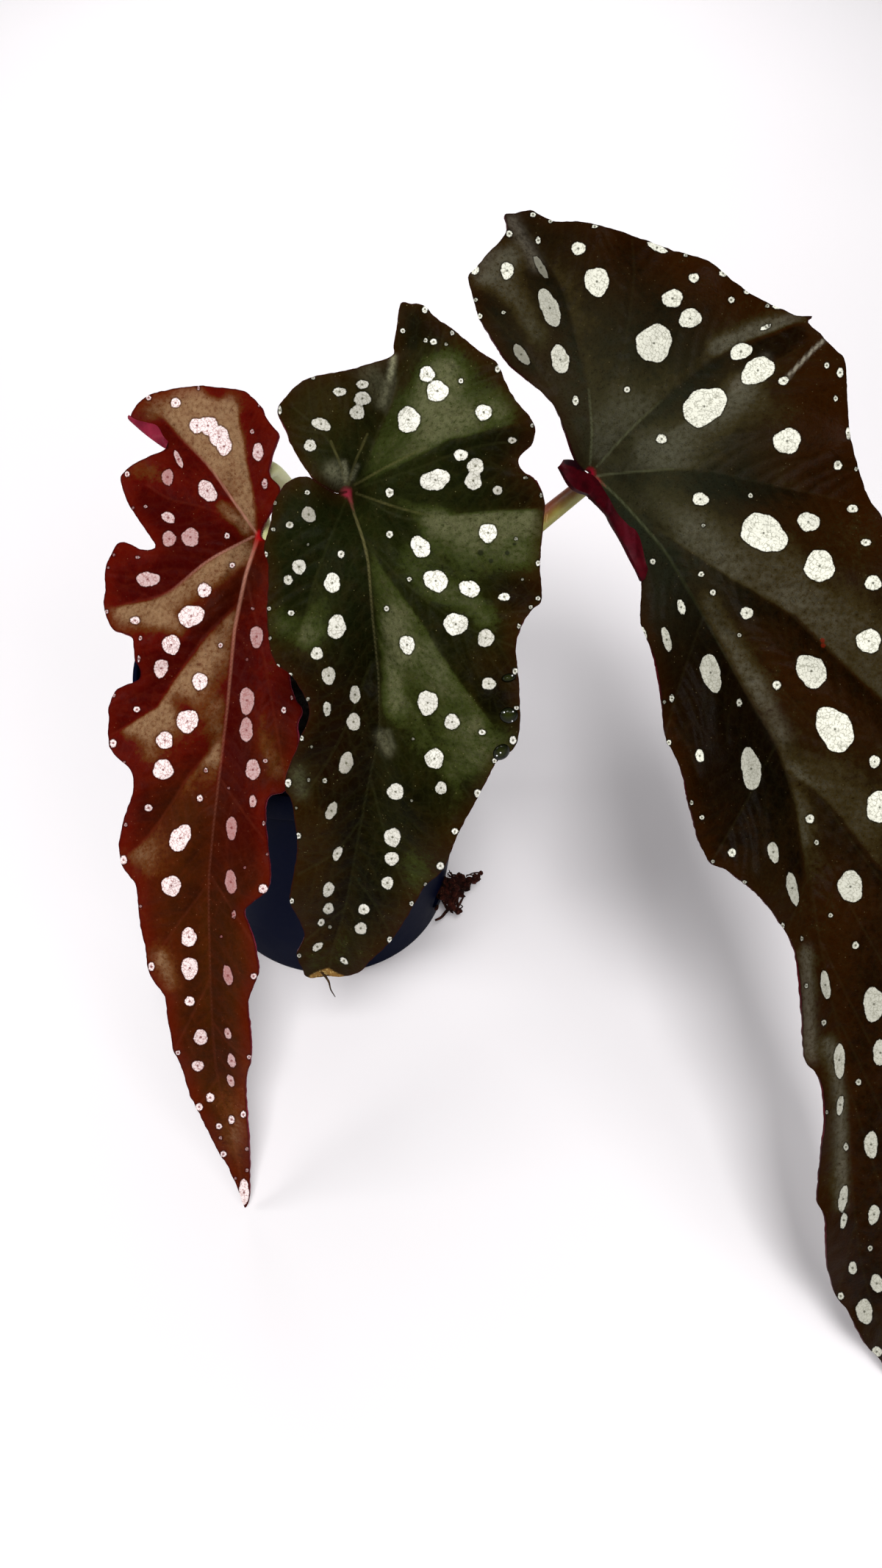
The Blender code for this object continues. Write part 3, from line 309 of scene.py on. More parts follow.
CENTER_LEAF = {
    "name": "leaf_center",
    "sinus": (471, 669),
    "tip": (450, 1330),
    "sinus_height": 170 * MM,
    "tip_height": 60 * MM,
    "bank": math.radians(-6),
    "arch": 11 * MM,
    "stalk_under": 0.5 * MM,
    "wave": 1.2 * MM,
    "wave_length": 105,
    "spacing": 3.4,
    "outline": [
        (471, 669), (459, 671), (445, 664), (428, 653), (412, 633), (398, 609), (387, 582), (377, 559), (384, 545),
        (398, 529), (418, 515), (445, 508), (474, 503), (501, 495), (533, 484), (535, 470), (538, 454), (542, 427),
        (545, 412), (560, 413), (576, 415), (589, 428), (600, 437), (616, 447), (635, 463), (656, 480), (675, 492),
        (682, 505), (691, 526), (704, 547), (718, 563), (727, 578), (728, 590), (723, 606), (707, 621), (707, 633),
        (715, 644), (728, 653), (741, 680), (739, 714), (736, 748), (735, 774), (737, 815), (726, 828), (712, 846),
        (704, 868), (702, 886), (706, 924), (708, 975), (707, 992), (702, 1014), (688, 1027), (675, 1038),
        (662, 1062), (648, 1089), (632, 1118), (620, 1142), (608, 1174), (597, 1190), (578, 1206), (565, 1228),
        (546, 1260), (533, 1279), (517, 1295), (501, 1310), (493, 1320), (479, 1326), (463, 1329), (447, 1328),
        (420, 1330), (411, 1319), (404, 1298), (411, 1282), (414, 1268), (407, 1252), (398, 1236), (394, 1222),
        (397, 1201), (404, 1158), (403, 1134), (400, 1110), (396, 1089), (388, 1075), (388, 1062), (394, 1040),
        (403, 1019), (410, 1000), (418, 983), (421, 966), (416, 951), (407, 935), (396, 919), (383, 909),
        (375, 902), (367, 881), (364, 854), (363, 828), (365, 774), (359, 747), (363, 728), (368, 710), (372, 686),
        (378, 673), (388, 658), (401, 650), (413, 648), (421, 649), (427.7, 653.4), (444.7, 664.4), (458.9, 671.3),
    ],
    "midrib": CENTER_MIDRIB,
    "creases": [
        (-5.0, 24, [(474, 669), (498, 633), (514, 588), (533, 547), (540, 515), (533, 484)]),
        (2.6, 26, [(500, 662), (528, 641), (568, 620), (608, 600), (661, 588), (720, 577)]),
        (-2.6, 26, [(490, 673), (554, 705), (661, 696), (735, 692)]),
        (2.4, 28, [(510, 740), (528, 793), (568, 841), (608, 895), (635, 935), (675, 988)]), (-1.6, 20, CENTER_LOW),
        (1.6, 24, [(520, 960), (545, 1040), (575, 1110), (600, 1165)]),
        (-1.2, 20, [(505, 1060), (520, 1120), (540, 1180), (560, 1225)]),
        (-1.6, 20, [(471, 680), (450, 731), (428, 790), (418, 828), (402, 884)]),
        (1.6, 24, [(480, 760), (462, 860), (440, 940), (425, 1000)]),
        (-1.2, 20, [(505, 900), (470, 990), (430, 1060), (400, 1095)]),
        (-1.0, 20, [(470, 640), (440, 590), (400, 555)]), (1.8, 22, [(500, 600), (470, 560), (460, 515)]),
    ],
    "veins": [
        [(480, 660), (540, 600), (600, 530), (640, 480)], [(482, 665), (560, 640), (640, 610), (700, 600)],
        [(500, 740), (560, 800), (630, 850), (700, 880)], [(495, 1110), (455, 1160), (405, 1190)],
        [(480, 1190), (510, 1230), (530, 1270)], [(470, 1235), (440, 1260), (415, 1280)],
    ],
    # Painted light (above 0) and painted shade (below 0) over the blade's folds
    "light": [
        (0.75, 25, [(628, 472), (602, 505), (590, 545)]), (0.8, 21, [(668, 563), (645, 571), (605, 590)]),
        (0.45, 30, [(598, 525), (560, 565), (532, 608)]), (0.2, 14, [(604, 478), (615, 502)]),
        (0.8, 20, [(590, 712), (650, 716), (722, 712)]), (0.2, 9, [(596, 703), (650, 702), (722, 700)]),
        (0.55, 20, [(640, 752), (720, 765)]), (0.5, 14, [(538, 838), (552, 885)]),
        (0.7, 18, [(550, 762), (578, 795)]), (0.3, 12, [(632, 596), (650, 604)]),
        (0.4, 30, [(560, 900), (585, 950), (605, 1000)]), (0.4, 18, [(640, 990), (690, 1010)]),
        (0.35, 15, [(562, 1165), (575, 1205)]), (0.4, 13, [(450, 800), (440, 850)]),
        (0.65, 17, [(375, 840), (405, 855), (420, 870)]), (0.35, 12, [(402, 1050), (415, 1080)]),
        (-1.3, 19, [(476, 740), (486, 830), (492, 900)]), (-1.3, 24, [(482, 900), (486, 1000), (470, 1080)]),
        (-1.2, 25, [(398, 925), (440, 945), (424, 990)]), (-0.8, 17, [(620, 606), (660, 598), (720, 590)]),
        (-0.5, 22, [(640, 640), (715, 640)]), (-0.4, 12, [(550, 690), (640, 688), (735, 684)]),
        (-0.8, 19, [(566, 440), (600, 458), (636, 470)]), (-0.4, 12, [(550, 470), (546, 520)]),
        (-0.8, 19, [(695, 805), (728, 800)]), (-0.4, 22, [(700, 900), (690, 960)]),
        (-0.9, 30, [(410, 690), (428, 742), (398, 785)]), (-0.6, 10, [(500, 690), (535, 712), (562, 722)]),
        (-0.6, 24, [(488, 1125), (498, 1180), (500, 1235)]), (-0.35, 20, [(558, 1085), (566, 1120)]),
        (0.7, 12, [(529, 852), (534, 900), (538, 965)]), (0.65, 14, [(606, 806), (640, 822), (662, 838)]),
        (0.8, 9, [(548, 686), (566, 692), (600, 700)]), (0.5, 16, [(628, 1046), (655, 1036)]),
        (-0.35, 12, [(440, 690), (446, 720)]),
    ],
    # Painted sheen: light streaks where the blade catches the light, and a pale scuff
    "painted_sheen_and_scuffs": [
        (0.6, 2.5, [(470, 654), (470, 641), (468, 630)]), (0.4, 8, [(463, 650), (454, 641)]),
        (0.4, 3, [(459, 652), (455, 642)]), (0.3, 2, [(478, 652), (486, 634)]),
        (0.5, 3, [(535, 487), (533, 500), (530, 516)]), (0.2, 6, [(528, 520), (520, 548)]),
        (0.1, 12, [(504, 507), (516, 530)]), (0.16, 5, [(518, 1000), (528, 1022)]),
        (0.12, 3, [(528, 996), (534, 1016)]), (0.08, 7, [(405, 1052), (409, 1076)]),
        (0.06, 8, [(585, 880), (600, 925)]),
    ],
    "shade": [
        (0.55, 42, [(420, 590), (480, 545)]), (0.95, 20, [(420, 700), (375, 690)]),
        (0.5, 18, [(407, 771), (392, 789)]), (0.4, 24, [(458, 853), (431, 889)]),
        (0.75, 22, [(445, 915), (483, 950), (483, 985), (442, 968)]), (0.9, 24, [(475, 1035), (452, 1105)]),
        (0.65, 22, [(458, 1160), (447, 1240), (491, 1262), (434, 1288)]), (0.5, 22, [(658, 868), (668, 935)]),
        (0.3, 24, [(582, 956), (612, 985)]), (0.4, 15, [(648, 632), (642, 655)]),
        (0.7, 12, [(677, 667), (700, 600)]), (0.35, 26, [(600, 1075), (538, 1080), (534, 1170), (527, 1201)]),
        (0.2, 20, [(452, 793), (462, 760)]),
    ],
    "dark_marks_and_hollow_shade": [(654, 752, 5), (690, 752, 4), (668, 763, 4), (700, 740, 3), (489, 1196, 3.2)],
    # Painted light and shade on the two sides of each fold line
    "folds": [
        (0.0, -1.0, 50, [(474, 669), (498, 633), (514, 588), (533, 547), (540, 520), (533, 484)]),
        (-0.5, 0.35, 34, [(490, 668), (528, 641), (568, 620), (608, 600), (661, 588), (720, 577)]),
        (0.5, -0.4, 28, [(560, 705), (610, 703), (661, 696), (739, 692)]),
        (0.45, -0.45, 38, [(503, 740), (527, 784), (578, 851), (610, 905), (638, 942), (675, 988)]),
        (0.15, -0.15, 20, CENTER_LOW),
        (-0.15, 0.3, 20, [(465, 690), (450, 731), (428, 790), (418, 828), (402, 884)]),
        (-0.8, 0.5, 22, CENTER_MIDRIB[:6] + [(516, 975)]), (-0.6, 0.12, 22, [(516, 950)] + CENTER_MIDRIB[6:11]),
    ],
    "brown": [
        (1.0, 44, [(395, 570), (450, 545), (515, 520)]), (0.8, 18, [(590, 450), (640, 470), (700, 540)]),
        (0.9, 24, [(715, 590), (700, 640), (730, 680)]), (0.9, 19, [(725, 790), (700, 820), (705, 870)]),
        (0.6, 20, [(700, 930), (665, 900)]), (0.9, 32, [(395, 912), (450, 950), (450, 1050)]),
        (1.0, 34, [(430, 1110), (425, 1200), (430, 1290)]), (0.8, 24, [(500, 1300), (560, 1225), (610, 1140)]),
        (0.9, 17, [(385, 657), (430, 665)]),
    ],
    "bold": [
        CENTER_MIDRIB[1:7], [(482, 660), (528, 634), (580, 608)], [(484, 671), (540, 690), (590, 703)],
        [(474, 660), (482, 632), (500, 590)], [(470, 660), (464, 635), (450, 600)],
    ],
    "dry": [(424, 1330), (434, 1325), (446, 1321), (456, 1327), (466, 1331)],
    "spots": [
        (581, 509, 20, 21), (595, 532, 29, 28), (556, 571, 30, 35), (658, 561, 22, 21), (627, 518, 6, 7),
        (590, 465, 9, 8), (579, 463, 5, 6), (548, 450, 6, 7), (578, 421, 7, 10), (615, 453, 5, 6), (607, 468, 4, 4),
        (677, 502, 6, 10), (627, 619, 19, 15), (647, 634, 22, 21), (644, 654, 22, 25), (592, 653, 41, 28, 15),
        (530, 670, 11, 12), (677, 667, 13, 12), (697, 599, 12, 8), (462, 533, 18, 11), (493, 523, 17, 11),
        (493, 542, 23, 18), (486, 561, 20, 19), (437, 577, 26, 17, -20), (422, 606, 16, 16), (381, 558, 4, 12),
        (426, 514, 5, 4), (420, 700, 19, 21, -30), (394, 714, 10, 9), (418, 670, 7, 6), (374, 684, 4, 6),
        (664, 725, 24, 25), (572, 744, 26, 29, -35), (530, 727, 9, 9), (702, 733, 4, 4), (464, 754, 9, 10),
        (715, 650, 6, 3), (736, 674, 3, 6), (724, 579, 3, 5), (372, 720, 5, 5), (419, 741, 3, 3), (362, 754, 4, 8),
        (407, 771, 18, 20), (392, 789, 12, 13), (452, 793, 21, 27), (458, 853, 24, 33, 8), (396, 834, 9, 7),
        (431, 889, 16, 17), (447, 919, 18, 24), (483, 945, 14, 24), (481, 982, 18, 24), (445, 964, 10, 20),
        (593, 790, 33, 29, -25), (639, 801, 28, 22, -20), (620, 849, 33, 29), (661, 868, 22, 24, 20),
        (686, 812, 16, 10), (554, 877, 20, 25, -15), (526, 828, 7, 7), (557, 788, 6, 6), (582, 956, 27, 33),
        (615, 982, 20, 21), (665, 930, 19, 16), (656, 996, 10, 7), (732, 766, 5, 9), (732, 814, 6, 6),
        (722, 826, 5, 5), (706, 852, 4, 7), (701, 913, 7, 8), (703, 963, 7, 5), (366, 828, 5, 5), (367, 868, 4, 4),
        (378, 906, 5, 5), (395, 918, 5, 5), (419, 951, 4, 5), (711, 788, 3, 3), (471, 1038, 19, 30, 15),
        (591, 1032, 25, 27), (538, 1077, 22, 22), (600, 1072, 15, 17), (451, 1103, 16, 24, 25), (534, 1139, 22, 25),
        (533, 1168, 19, 18), (527, 1201, 16, 17), (459, 1161, 13, 19, 25), (447, 1210, 15, 20, 20),
        (447, 1236, 14, 15, 30), (437, 1255, 9, 10, 35), (495, 1237, 15, 14), (491, 1263, 16, 16, -30),
        (432, 1288, 15, 12, 35), (468, 1307, 11, 9, -40), (530, 1278, 6, 8), (392, 1065, 8, 11), (442, 1062, 6, 7),
        (420, 1061, 3, 5), (403, 1099, 3, 3), (406, 1137, 7, 8), (397, 1226, 5, 8), (407, 1300, 5, 5),
        (698, 1007, 9, 11), (673, 1035, 6, 6), (650, 1079, 9, 11), (619, 1131, 9, 8), (599, 1178, 10, 10),
        (579, 1203, 4, 4), (560, 1229, 5, 6), (410, 1004, 6, 7), (424, 1016, 3, 3), (449, 1261, 4, 4),
        (560, 1089, 3, 3), (562, 1005, 3, 3),
    ],
}

RIGHT_LEAF = {
    "name": "leaf_right",
    "sinus": (803, 643),
    "tip": (1218, 1880),
    "sinus_height": 166 * MM,
    "tip_height": 3 * MM,
    "bank": math.radians(10),
    "arch": 17 * MM,
    "stalk_under": 1.3 * MM,
    "wave": 2.0 * MM,
    "wave_length": 170,
    "spacing": 3.8,
    "outline": [
        (803, 643), (794, 640), (783, 625), (768, 585), (753, 551), (731, 529), (709, 510), (690, 492), (675, 470),
        (661, 448), (650, 429), (644, 407), (638, 385), (638, 374), (650, 361), (664, 344), (681, 327), (690, 310),
        (687, 292), (701, 290), (722, 286), (738, 294), (757, 301), (786, 301), (812, 305), (842, 314), (875, 325),
        (909, 338), (938, 346), (960, 353), (979, 366), (997, 381), (1020, 398), (1045, 412), (1068, 422),
        (1084, 429), (1105, 430), (1099, 438), (1119, 457), (1138, 477), (1150, 492), (1153, 544), (1156, 585),
        (1162, 614), (1171, 647), (1182, 677), (1200, 703), (1215, 740), (1228, 800), (1236, 850), (1240, 900),
        (1246, 950), (1243, 1000), (1252, 1050), (1250, 1100), (1257, 1150), (1254, 1200), (1262, 1250),
        (1260, 1300), (1268, 1350), (1266, 1400), (1270, 1450), (1266, 1500), (1265, 1550), (1259, 1600),
        (1257, 1650), (1248, 1700), (1243, 1745), (1234, 1790), (1228, 1835), (1218, 1880), (1200, 1853),
        (1179, 1830), (1167, 1810), (1154, 1785), (1138, 1764), (1130, 1739), (1125, 1718), (1124, 1666),
        (1121, 1652), (1112, 1636), (1113, 1613), (1116, 1578), (1119, 1553), (1123, 1525), (1119, 1480),
        (1109, 1459), (1096, 1445), (1092, 1420), (1092, 1387), (1090, 1356), (1087, 1325), (1082, 1297),
        (1073, 1275), (1059, 1253), (1043, 1231), (1027, 1214), (1006, 1197), (987, 1183), (968, 1175), (957, 1159),
        (948, 1137), (942, 1112), (935, 1087), (931, 1062), (924, 1041), (915, 1022), (906, 1006), (902, 975),
        (899, 941), (894, 911), (886, 882), (872, 852), (871, 828), (873, 789), (868, 778), (858, 759), (845, 734),
        (831, 711), (824, 698), (806, 679), (800, 672),
    ],
    "midrib": RIGHT_MIDRIB,
    "creases": [
        (-2.0, 28, RIGHT_LOBE), (-2.0, 28, RIGHT_TOP), (-1.6, 26, RIGHT_SHOULDER), (-2.0, 28, RIGHT_ACROSS),
        (-2.0, 28, [(827, 667), (879, 708), (953, 756), (1008, 793), (1064, 826), (1156, 911), (1235, 970)]),
        (-1.8, 28, [(957, 837), (1030, 900), (1120, 1000), (1240, 1120)]),
        (-1.8, 28, [(1031, 971), (1100, 1060), (1170, 1160), (1250, 1260)]),
        (-1.6, 26, [(1084, 1100), (1140, 1200), (1195, 1300), (1262, 1400)]),
        (-1.4, 24, [(1115, 1278), (1165, 1380), (1215, 1480), (1262, 1560)]),
        (-1.4, 22, [(957, 837), (925, 930), (905, 1000)]), (-1.4, 22, [(1056, 1012), (1010, 1100), (970, 1170)]),
        (-1.2, 20, [(1101, 1184), (1085, 1230), (1070, 1268)]),
        (2.4, 34, [(830, 560), (850, 470), (845, 380), (830, 320)]),
        (2.0, 34, [(900, 612), (990, 600), (1080, 560), (1145, 530)]),
        (2.0, 34, [(905, 690), (1000, 715), (1100, 765), (1200, 800)]),
        (2.4, 36, [(930, 735), (1020, 850), (1130, 930), (1230, 1040)]),
    ],
    "veins": [
        [(806, 640), (830, 560), (850, 470), (862, 380), (860, 325)],
        [(798, 630), (770, 560), (715, 480), (660, 420)], [(1134, 1372), (1180, 1470), (1225, 1570)],
        [(1152, 1470), (1190, 1590), (1225, 1700)], [(1134, 1372), (1112, 1420), (1100, 1440)],
        [(1155, 1530), (1135, 1590), (1118, 1630)], [(1165, 1660), (1150, 1720), (1140, 1760)],
    ],
    # Painted light (above 0) and painted shade (below 0) over the blade's folds
    "light": [
        (1.4, 15, [(658, 372), (668, 348), (690, 350)]), (0.9, 16, [(690, 395), (728, 455)]),
        (-0.6, 12, [(655, 410), (690, 430), (715, 500)]), (0.7, 24, [(820, 615), (833, 580), (852, 556)]),
        (0.2, 22, [(870, 545), (910, 520)]), (1.0, 20, [(880, 605), (930, 590), (985, 560), (1005, 530)]),
        (1.3, 9, [(975, 472), (1040, 446), (1085, 434)]), (-1.2, 8, [(1040, 475), (1086, 449)]),
        (0.3, 22, [(900, 630), (945, 630)]), (-0.8, 18, [(965, 655), (1030, 662)]),
        (0.6, 26, [(880, 680), (930, 710), (1000, 760)]), (0.5, 28, [(1060, 770), (1130, 830), (1200, 880)]),
        (0.4, 22, [(1140, 1060), (1190, 1110)]), (0.8, 13, [(964, 820), (1006, 895), (1034, 950)]),
        (0.45, 12, [(1048, 985), (1065, 1025), (1085, 1064), (1092, 1140)]), (1.0, 9, [(1095, 1300), (1099, 1430)]),
        (1.1, 9, [(1128, 1420), (1142, 1500), (1144, 1640)]), (-0.4, 36, [(900, 430), (860, 350)]),
        (-0.7, 34, [(915, 900), (950, 1000), (1000, 1130)]),
        (-1.2, 26, [(868, 732), (893, 780), (930, 860), (965, 925), (1000, 985), (1032, 1045)]),
        (-0.5, 30, [(1180, 1300), (1190, 1500), (1180, 1750)]), (-0.3, 36, [(1090, 560), (1120, 640)]),
        (0.4, 18, [(1045, 556), (1076, 572)]),
    ],
    # Painted sheen: highlight streaks along the folds and margins, the brightest along the scratch near the top
    "painted_sheen_and_scuffs": [
        (0.35, 6, [(697, 300), (712, 328), (730, 360)]),
        (1.8, 1.2, [(1121, 463), (1106, 476), (1088, 495), (1066, 519)]),
        (0.3, 5, [(1000, 526), (1022, 505), (1042, 488)]), (0.2, 8, [(1030, 930), (1065, 1000)]),
        (0.2, 5, [(1098, 1290), (1101, 1360), (1105, 1440)]), (0.2, 4, [(1136, 1425), (1146, 1500), (1149, 1640)]),
    ],
    "shade": [
        (1.0, 14, [(730, 355), (742, 375)]), (0.6, 18, [(742, 405), (754, 435)]),
        (0.85, 16, [(703, 474), (716, 492)]), (0.3, 20, [(762, 470), (762, 505)]),
        (0.15, 50, [(787, 338), (890, 467), (930, 430)]),
        (0.55, 30, [(905, 880), (967, 915), (1022, 1046), (1078, 1208), (1123, 1340), (1142, 1442), (1150, 1640)]),
        (0.35, 50, [(1157, 1206), (1190, 1340)]),
        (0.5, 50, [(1189, 1366), (1190, 1560), (1189, 1660), (1176, 1790)]), (0.25, 24, [(1016, 834), (1100, 913)]),
    ],
    # The first four are painted shade in the hollow of the rolled margin; the last two are dark blemishes
    "dark_marks_and_hollow_shade": [(769, 630, 4.5), (775, 631, 5.5), (782, 636, 5), (787, 641, 3), (1119, 871, 4), (1120, 878, 4)],
    # Painted light and shade on the two sides of each fold line
    "folds": [
        (0.35, -0.5, 32, RIGHT_LOBE[:6]), (-0.6, 0.3, 26, RIGHT_TOP), (0.3, -0.2, 24, RIGHT_SHOULDER),
        (-0.4, 0.5, 24, RIGHT_ACROSS[:6]),
        (-0.7, 0.5, 40, [(900, 725), (947, 756), (992, 786), (1036, 812), (1081, 838), (1125, 881), (1168, 924),
                         (1235, 985)]),
        (-0.5, 0.35, 34, [(1064, 1043), (1110, 1075), (1139, 1107), (1177, 1156), (1220, 1210), (1255, 1265)]),
        (-0.6, 0.5, 30, RIGHT_MIDRIB[:9] + [(1096, 1205)]),
    ],
    "brown": [
        (0.9, 46, [(860, 330), (960, 370), (1060, 430)]), (1.0, 60, [(1130, 520), (1130, 620), (1180, 700)]),
        (0.7, 40, [(1060, 700), (1150, 720)]), (0.9, 44, [(880, 860), (910, 980), (960, 1140)]),
        (0.8, 60, [(1080, 920), (1160, 960)]), (0.9, 70, [(1150, 1250), (1180, 1450), (1190, 1700)]),
        (0.6, 40, [(780, 560), (740, 500)]),
    ],
    "bold": [
        RIGHT_MIDRIB[:6], RIGHT_ACROSS[:3], [(803, 633), (805, 585), (801, 529)],
        [(812, 635), (857, 585), (901, 544)],
    ],
    "curl": {
        "bend": [
            (761, 634), (774, 658), (785, 667), (797, 671), (806, 679), (824, 698), (831, 711), (845, 734),
            (858, 759), (868, 778), (873, 789),
        ],
        "edge": [
            (765, 627), (776, 627), (785, 637), (792, 645), (799, 648), (807, 657), (816, 669), (825, 683),
            (835, 701), (847, 716), (863, 731), (876, 774),
        ],
        "joined": 7,
    },
    "spots": [
        (787, 338, 19, 17), (812, 383, 33, 39, -8), (748, 419, 30, 52, -22), (762, 489, 24, 39, -12),
        (709, 482, 22, 29, -36), (690, 368, 17, 23), (646, 367, 11, 13), (693, 318, 8, 9), (732, 327, 6, 10),
        (736, 364, 20, 32, -30), (783, 545, 8, 13), (853, 530, 8, 8), (890, 467, 48, 51, 28),
        (939, 433, 30, 26, 18), (915, 406, 28, 24, 15), (944, 378, 14, 12), (995, 408, 8, 9),
        (1008, 478, 30, 22, 20), (1031, 504, 45, 37, 30), (1042, 445, 17, 7, 20), (958, 553, 59, 52, 33),
        (900, 597, 14, 12), (1071, 600, 37, 34, 22), (1066, 518, 14, 11, 20), (1140, 633, 11, 12),
        (1125, 497, 6, 9), (1137, 542, 5, 8), (1154, 589, 5, 18), (1165, 638, 4, 6), (953, 679, 22, 17, -10),
        (1100, 710, 30, 25, -15), (1039, 725, 62, 52, -28), (1160, 692, 15, 10), (1021, 674, 6, 6),
        (1143, 507, 8, 14), (984, 372, 11, 8), (1016, 397, 8, 6), (894, 337, 28, 10, -25), (933, 347, 7, 4),
        (749, 301, 6, 4), (809, 308, 9, 4), (725, 292, 8, 6), (1058, 417, 14, 6), (1044, 416, 5, 5),
        (685, 425, 6, 4), (647, 408, 5, 5), (653, 430, 6, 7), (1115, 770, 40, 43), (1178, 738, 14, 9),
        (1188, 793, 22, 20), (1182, 872, 33, 32), (1016, 834, 17, 16), (954, 781, 8, 7), (970, 806, 8, 8),
        (1006, 864, 5, 5), (1104, 913, 41, 45, -35), (1057, 932, 11, 12), (967, 915, 28, 52, -14),
        (927, 826, 11, 21, -15), (907, 870, 9, 35, -15), (888, 764, 7, 8), (876, 861, 8, 18, -20),
        (1136, 992, 51, 61, -30), (1006, 956, 7, 12), (914, 950, 6, 11), (904, 955, 4, 4), (957, 715, 5, 4),
        (1022, 1046, 27, 58, -8), (952, 1028, 11, 18, -10), (910, 1010, 6, 7), (1190, 1036, 14, 17),
        (1197, 1098, 36, 43), (1102, 1114, 11, 12), (1111, 1146, 6, 7), (996, 1160, 10, 12),
        (1052, 1159, 15, 29, -12), (1078, 1208, 11, 46, -12), (1157, 1206, 33, 43, -8), (1164, 1286, 9, 10),
        (1130, 1245, 6, 6), (1123, 1340, 10, 40, -8), (1189, 1366, 28, 47), (1121, 1391, 6, 9), (1142, 1442, 9, 48),
        (1198, 1432, 20, 35), (1168, 1472, 7, 9), (1143, 1503, 3, 28, 8), (1185, 1557, 18, 37), (1151, 1560, 6, 11),
        (1147, 1631, 12, 37, 10), (1148, 1660, 9, 23, 10), (1189, 1652, 15, 27, 10), (1184, 1698, 6, 8),
        (1160, 1725, 11, 18), (1193, 1746, 17, 25, -15), (1176, 1784, 22, 34, -8), (1144, 1763, 8, 10),
        (1193, 1839, 14, 14), (1125, 1513, 3, 6), (970, 1172, 4, 4), (955, 1112, 6, 6), (1013, 1200, 6, 4),
        (1065, 1259, 4, 9), (1091, 1277, 3, 9), (1097, 1341, 4, 6), (941, 1092, 4, 7), (1226, 985, 18, 26),
        (1232, 1180, 14, 26), (1230, 1290, 20, 34), (1243, 1390, 10, 18), (1236, 1500, 16, 30),
        (1226, 1610, 12, 26), (1228, 1700, 9, 15), (1215, 1800, 10, 18), (1212, 905, 9, 10), (1222, 1075, 8, 9),
        (1218, 1350, 8, 10), (1210, 1240, 6, 7),
    ],
}


def picture_axes():
    """The eye's right, up and forward directions."""
    forward = np.array((0, math.cos(EYE_PITCH), -math.sin(EYE_PITCH)))
    level_up = np.array((0, math.sin(EYE_PITCH), math.cos(EYE_PITCH)))
    level_right = np.array((1.0, 0, 0))
    right = math.cos(EYE_ROLL) * level_right + math.sin(EYE_ROLL) * level_up
    up = math.cos(EYE_ROLL) * level_up - math.sin(EYE_ROLL) * level_right
    return right, up, forward


RIGHT, UP, FORWARD = picture_axes()


def sight_lines(points):
    """The direction from the eye through each picture point, one unit deep."""
    across = (points[:, 0] - PICTURE_CENTRE[0]) / FOCAL
    down = (points[:, 1] - PICTURE_CENTRE[1]) / FOCAL
    return FORWARD + across[:, None] * RIGHT - down[:, None] * UP


def at_height(point, height):
    """Where a picture point's sight line comes to this height."""
    line = sight_lines(np.array([point], float))[0]
    return EYE + line * (height - EYE[2]) / line[2]


def leaf_frame(leaf):
    """The plane that a leaf hangs along: its sinus, its length, and its down and face directions."""
    sinus = at_height(leaf["sinus"], leaf["sinus_height"])
    tip = at_height(leaf["tip"], leaf["tip_height"])
    length = np.linalg.norm(tip - sinus)
    down = (tip - sinus) / length
    across = RIGHT - down * RIGHT.dot(down)
    across /= np.linalg.norm(across)
    face = np.cross(down, across)
    if face.dot(EYE - sinus) < 0:
        face = -face
    return sinus, length, down, math.cos(leaf["bank"]) * face + math.sin(leaf["bank"]) * across


def to_path(points, path):
    """Each point's distance to a path, how far along it the nearest place is, and which side it lies on.

    The side is 1 on the picture's left of a path that runs down the picture, and -1 on its right.
    """
    path = np.asarray(path, float)
    start, step = path[:-1], np.diff(path, axis=0)
    size = np.maximum((step ** 2).sum(1), 1e-9)
    lengths = np.sqrt(size)
    before = np.concatenate(([0], np.cumsum(lengths)[:-1]))
    away, where, side = (np.empty(len(points)) for _ in range(3))
    for first in range(0, len(points), CHUNK):
        part = slice(first, first + CHUNK)
        some = points[part]
        share = np.clip(((some[:, None] - start) * step).sum(2) / size, 0, 1)
        gaps = np.linalg.norm(some[:, None] - start - share[..., None] * step, axis=2)
        closest = gaps.argmin(1)
        rows = np.arange(len(some))
        away[part] = gaps[rows, closest]
        where[part] = before[closest] + share[rows, closest] * lengths[closest]
        way, offset = step[closest], some - start[closest]
        side[part] = np.sign(way[:, 0] * offset[:, 1] - way[:, 1] * offset[:, 0])
    return away, where, side


def bell(distance, width):
    """1 at no distance, falling off over about this width."""
    return np.exp(-0.5 * (distance / width) ** 2)


def edge_wave(leaf, points):
    """Each point's distance to the margin and the margin's wave there, from -1 to 1."""
    outline = np.array(leaf["outline"] + leaf["outline"][:1], float)
    lengths = np.concatenate(([0], np.cumsum(np.linalg.norm(np.diff(outline, axis=0), axis=1))))
    where = np.arange(0, lengths[-1], EDGE_STEP)
    margin = np.stack([np.interp(where, lengths, outline[:, axis]) for axis in (0, 1)], 1)
    swing = np.sin(2 * math.pi * where / leaf["wave_length"])
    near, wave = np.empty(len(points)), np.empty(len(points))
    for first in range(0, len(points), CHUNK):
        part = slice(first, first + CHUNK)
        gaps = np.linalg.norm(points[part, None] - margin, axis=2)
        near[part] = gaps.min(1)
        share = np.exp((near[part, None] - gaps) / EDGE_STEP)
        wave[part] = share @ swing / share.sum(1)
    return near, wave


def relief(leaf, points, along):
    """How far the blade stands off its hanging plane: its arch, its creases at the veins and its waved edge."""
    height = 4 * leaf["arch"] * along * (1 - along)
    folds = MIDRIB_FOLD * bell(to_path(points, leaf["midrib"])[0], MIDRIB_FOLD_WIDTH)
    for depth, width, path in leaf["creases"]:
        folds += depth * MM * bell(to_path(points, path)[0], width)
    near, wave = edge_wave(leaf, points)
    folds += leaf["wave"] * np.exp(-near / EDGE_REACH) * wave
    from_tip = np.linalg.norm(points - np.array(leaf["tip"]), axis=1)
    return height + folds * np.clip(from_tip / TIP_FADE, 0, 1)


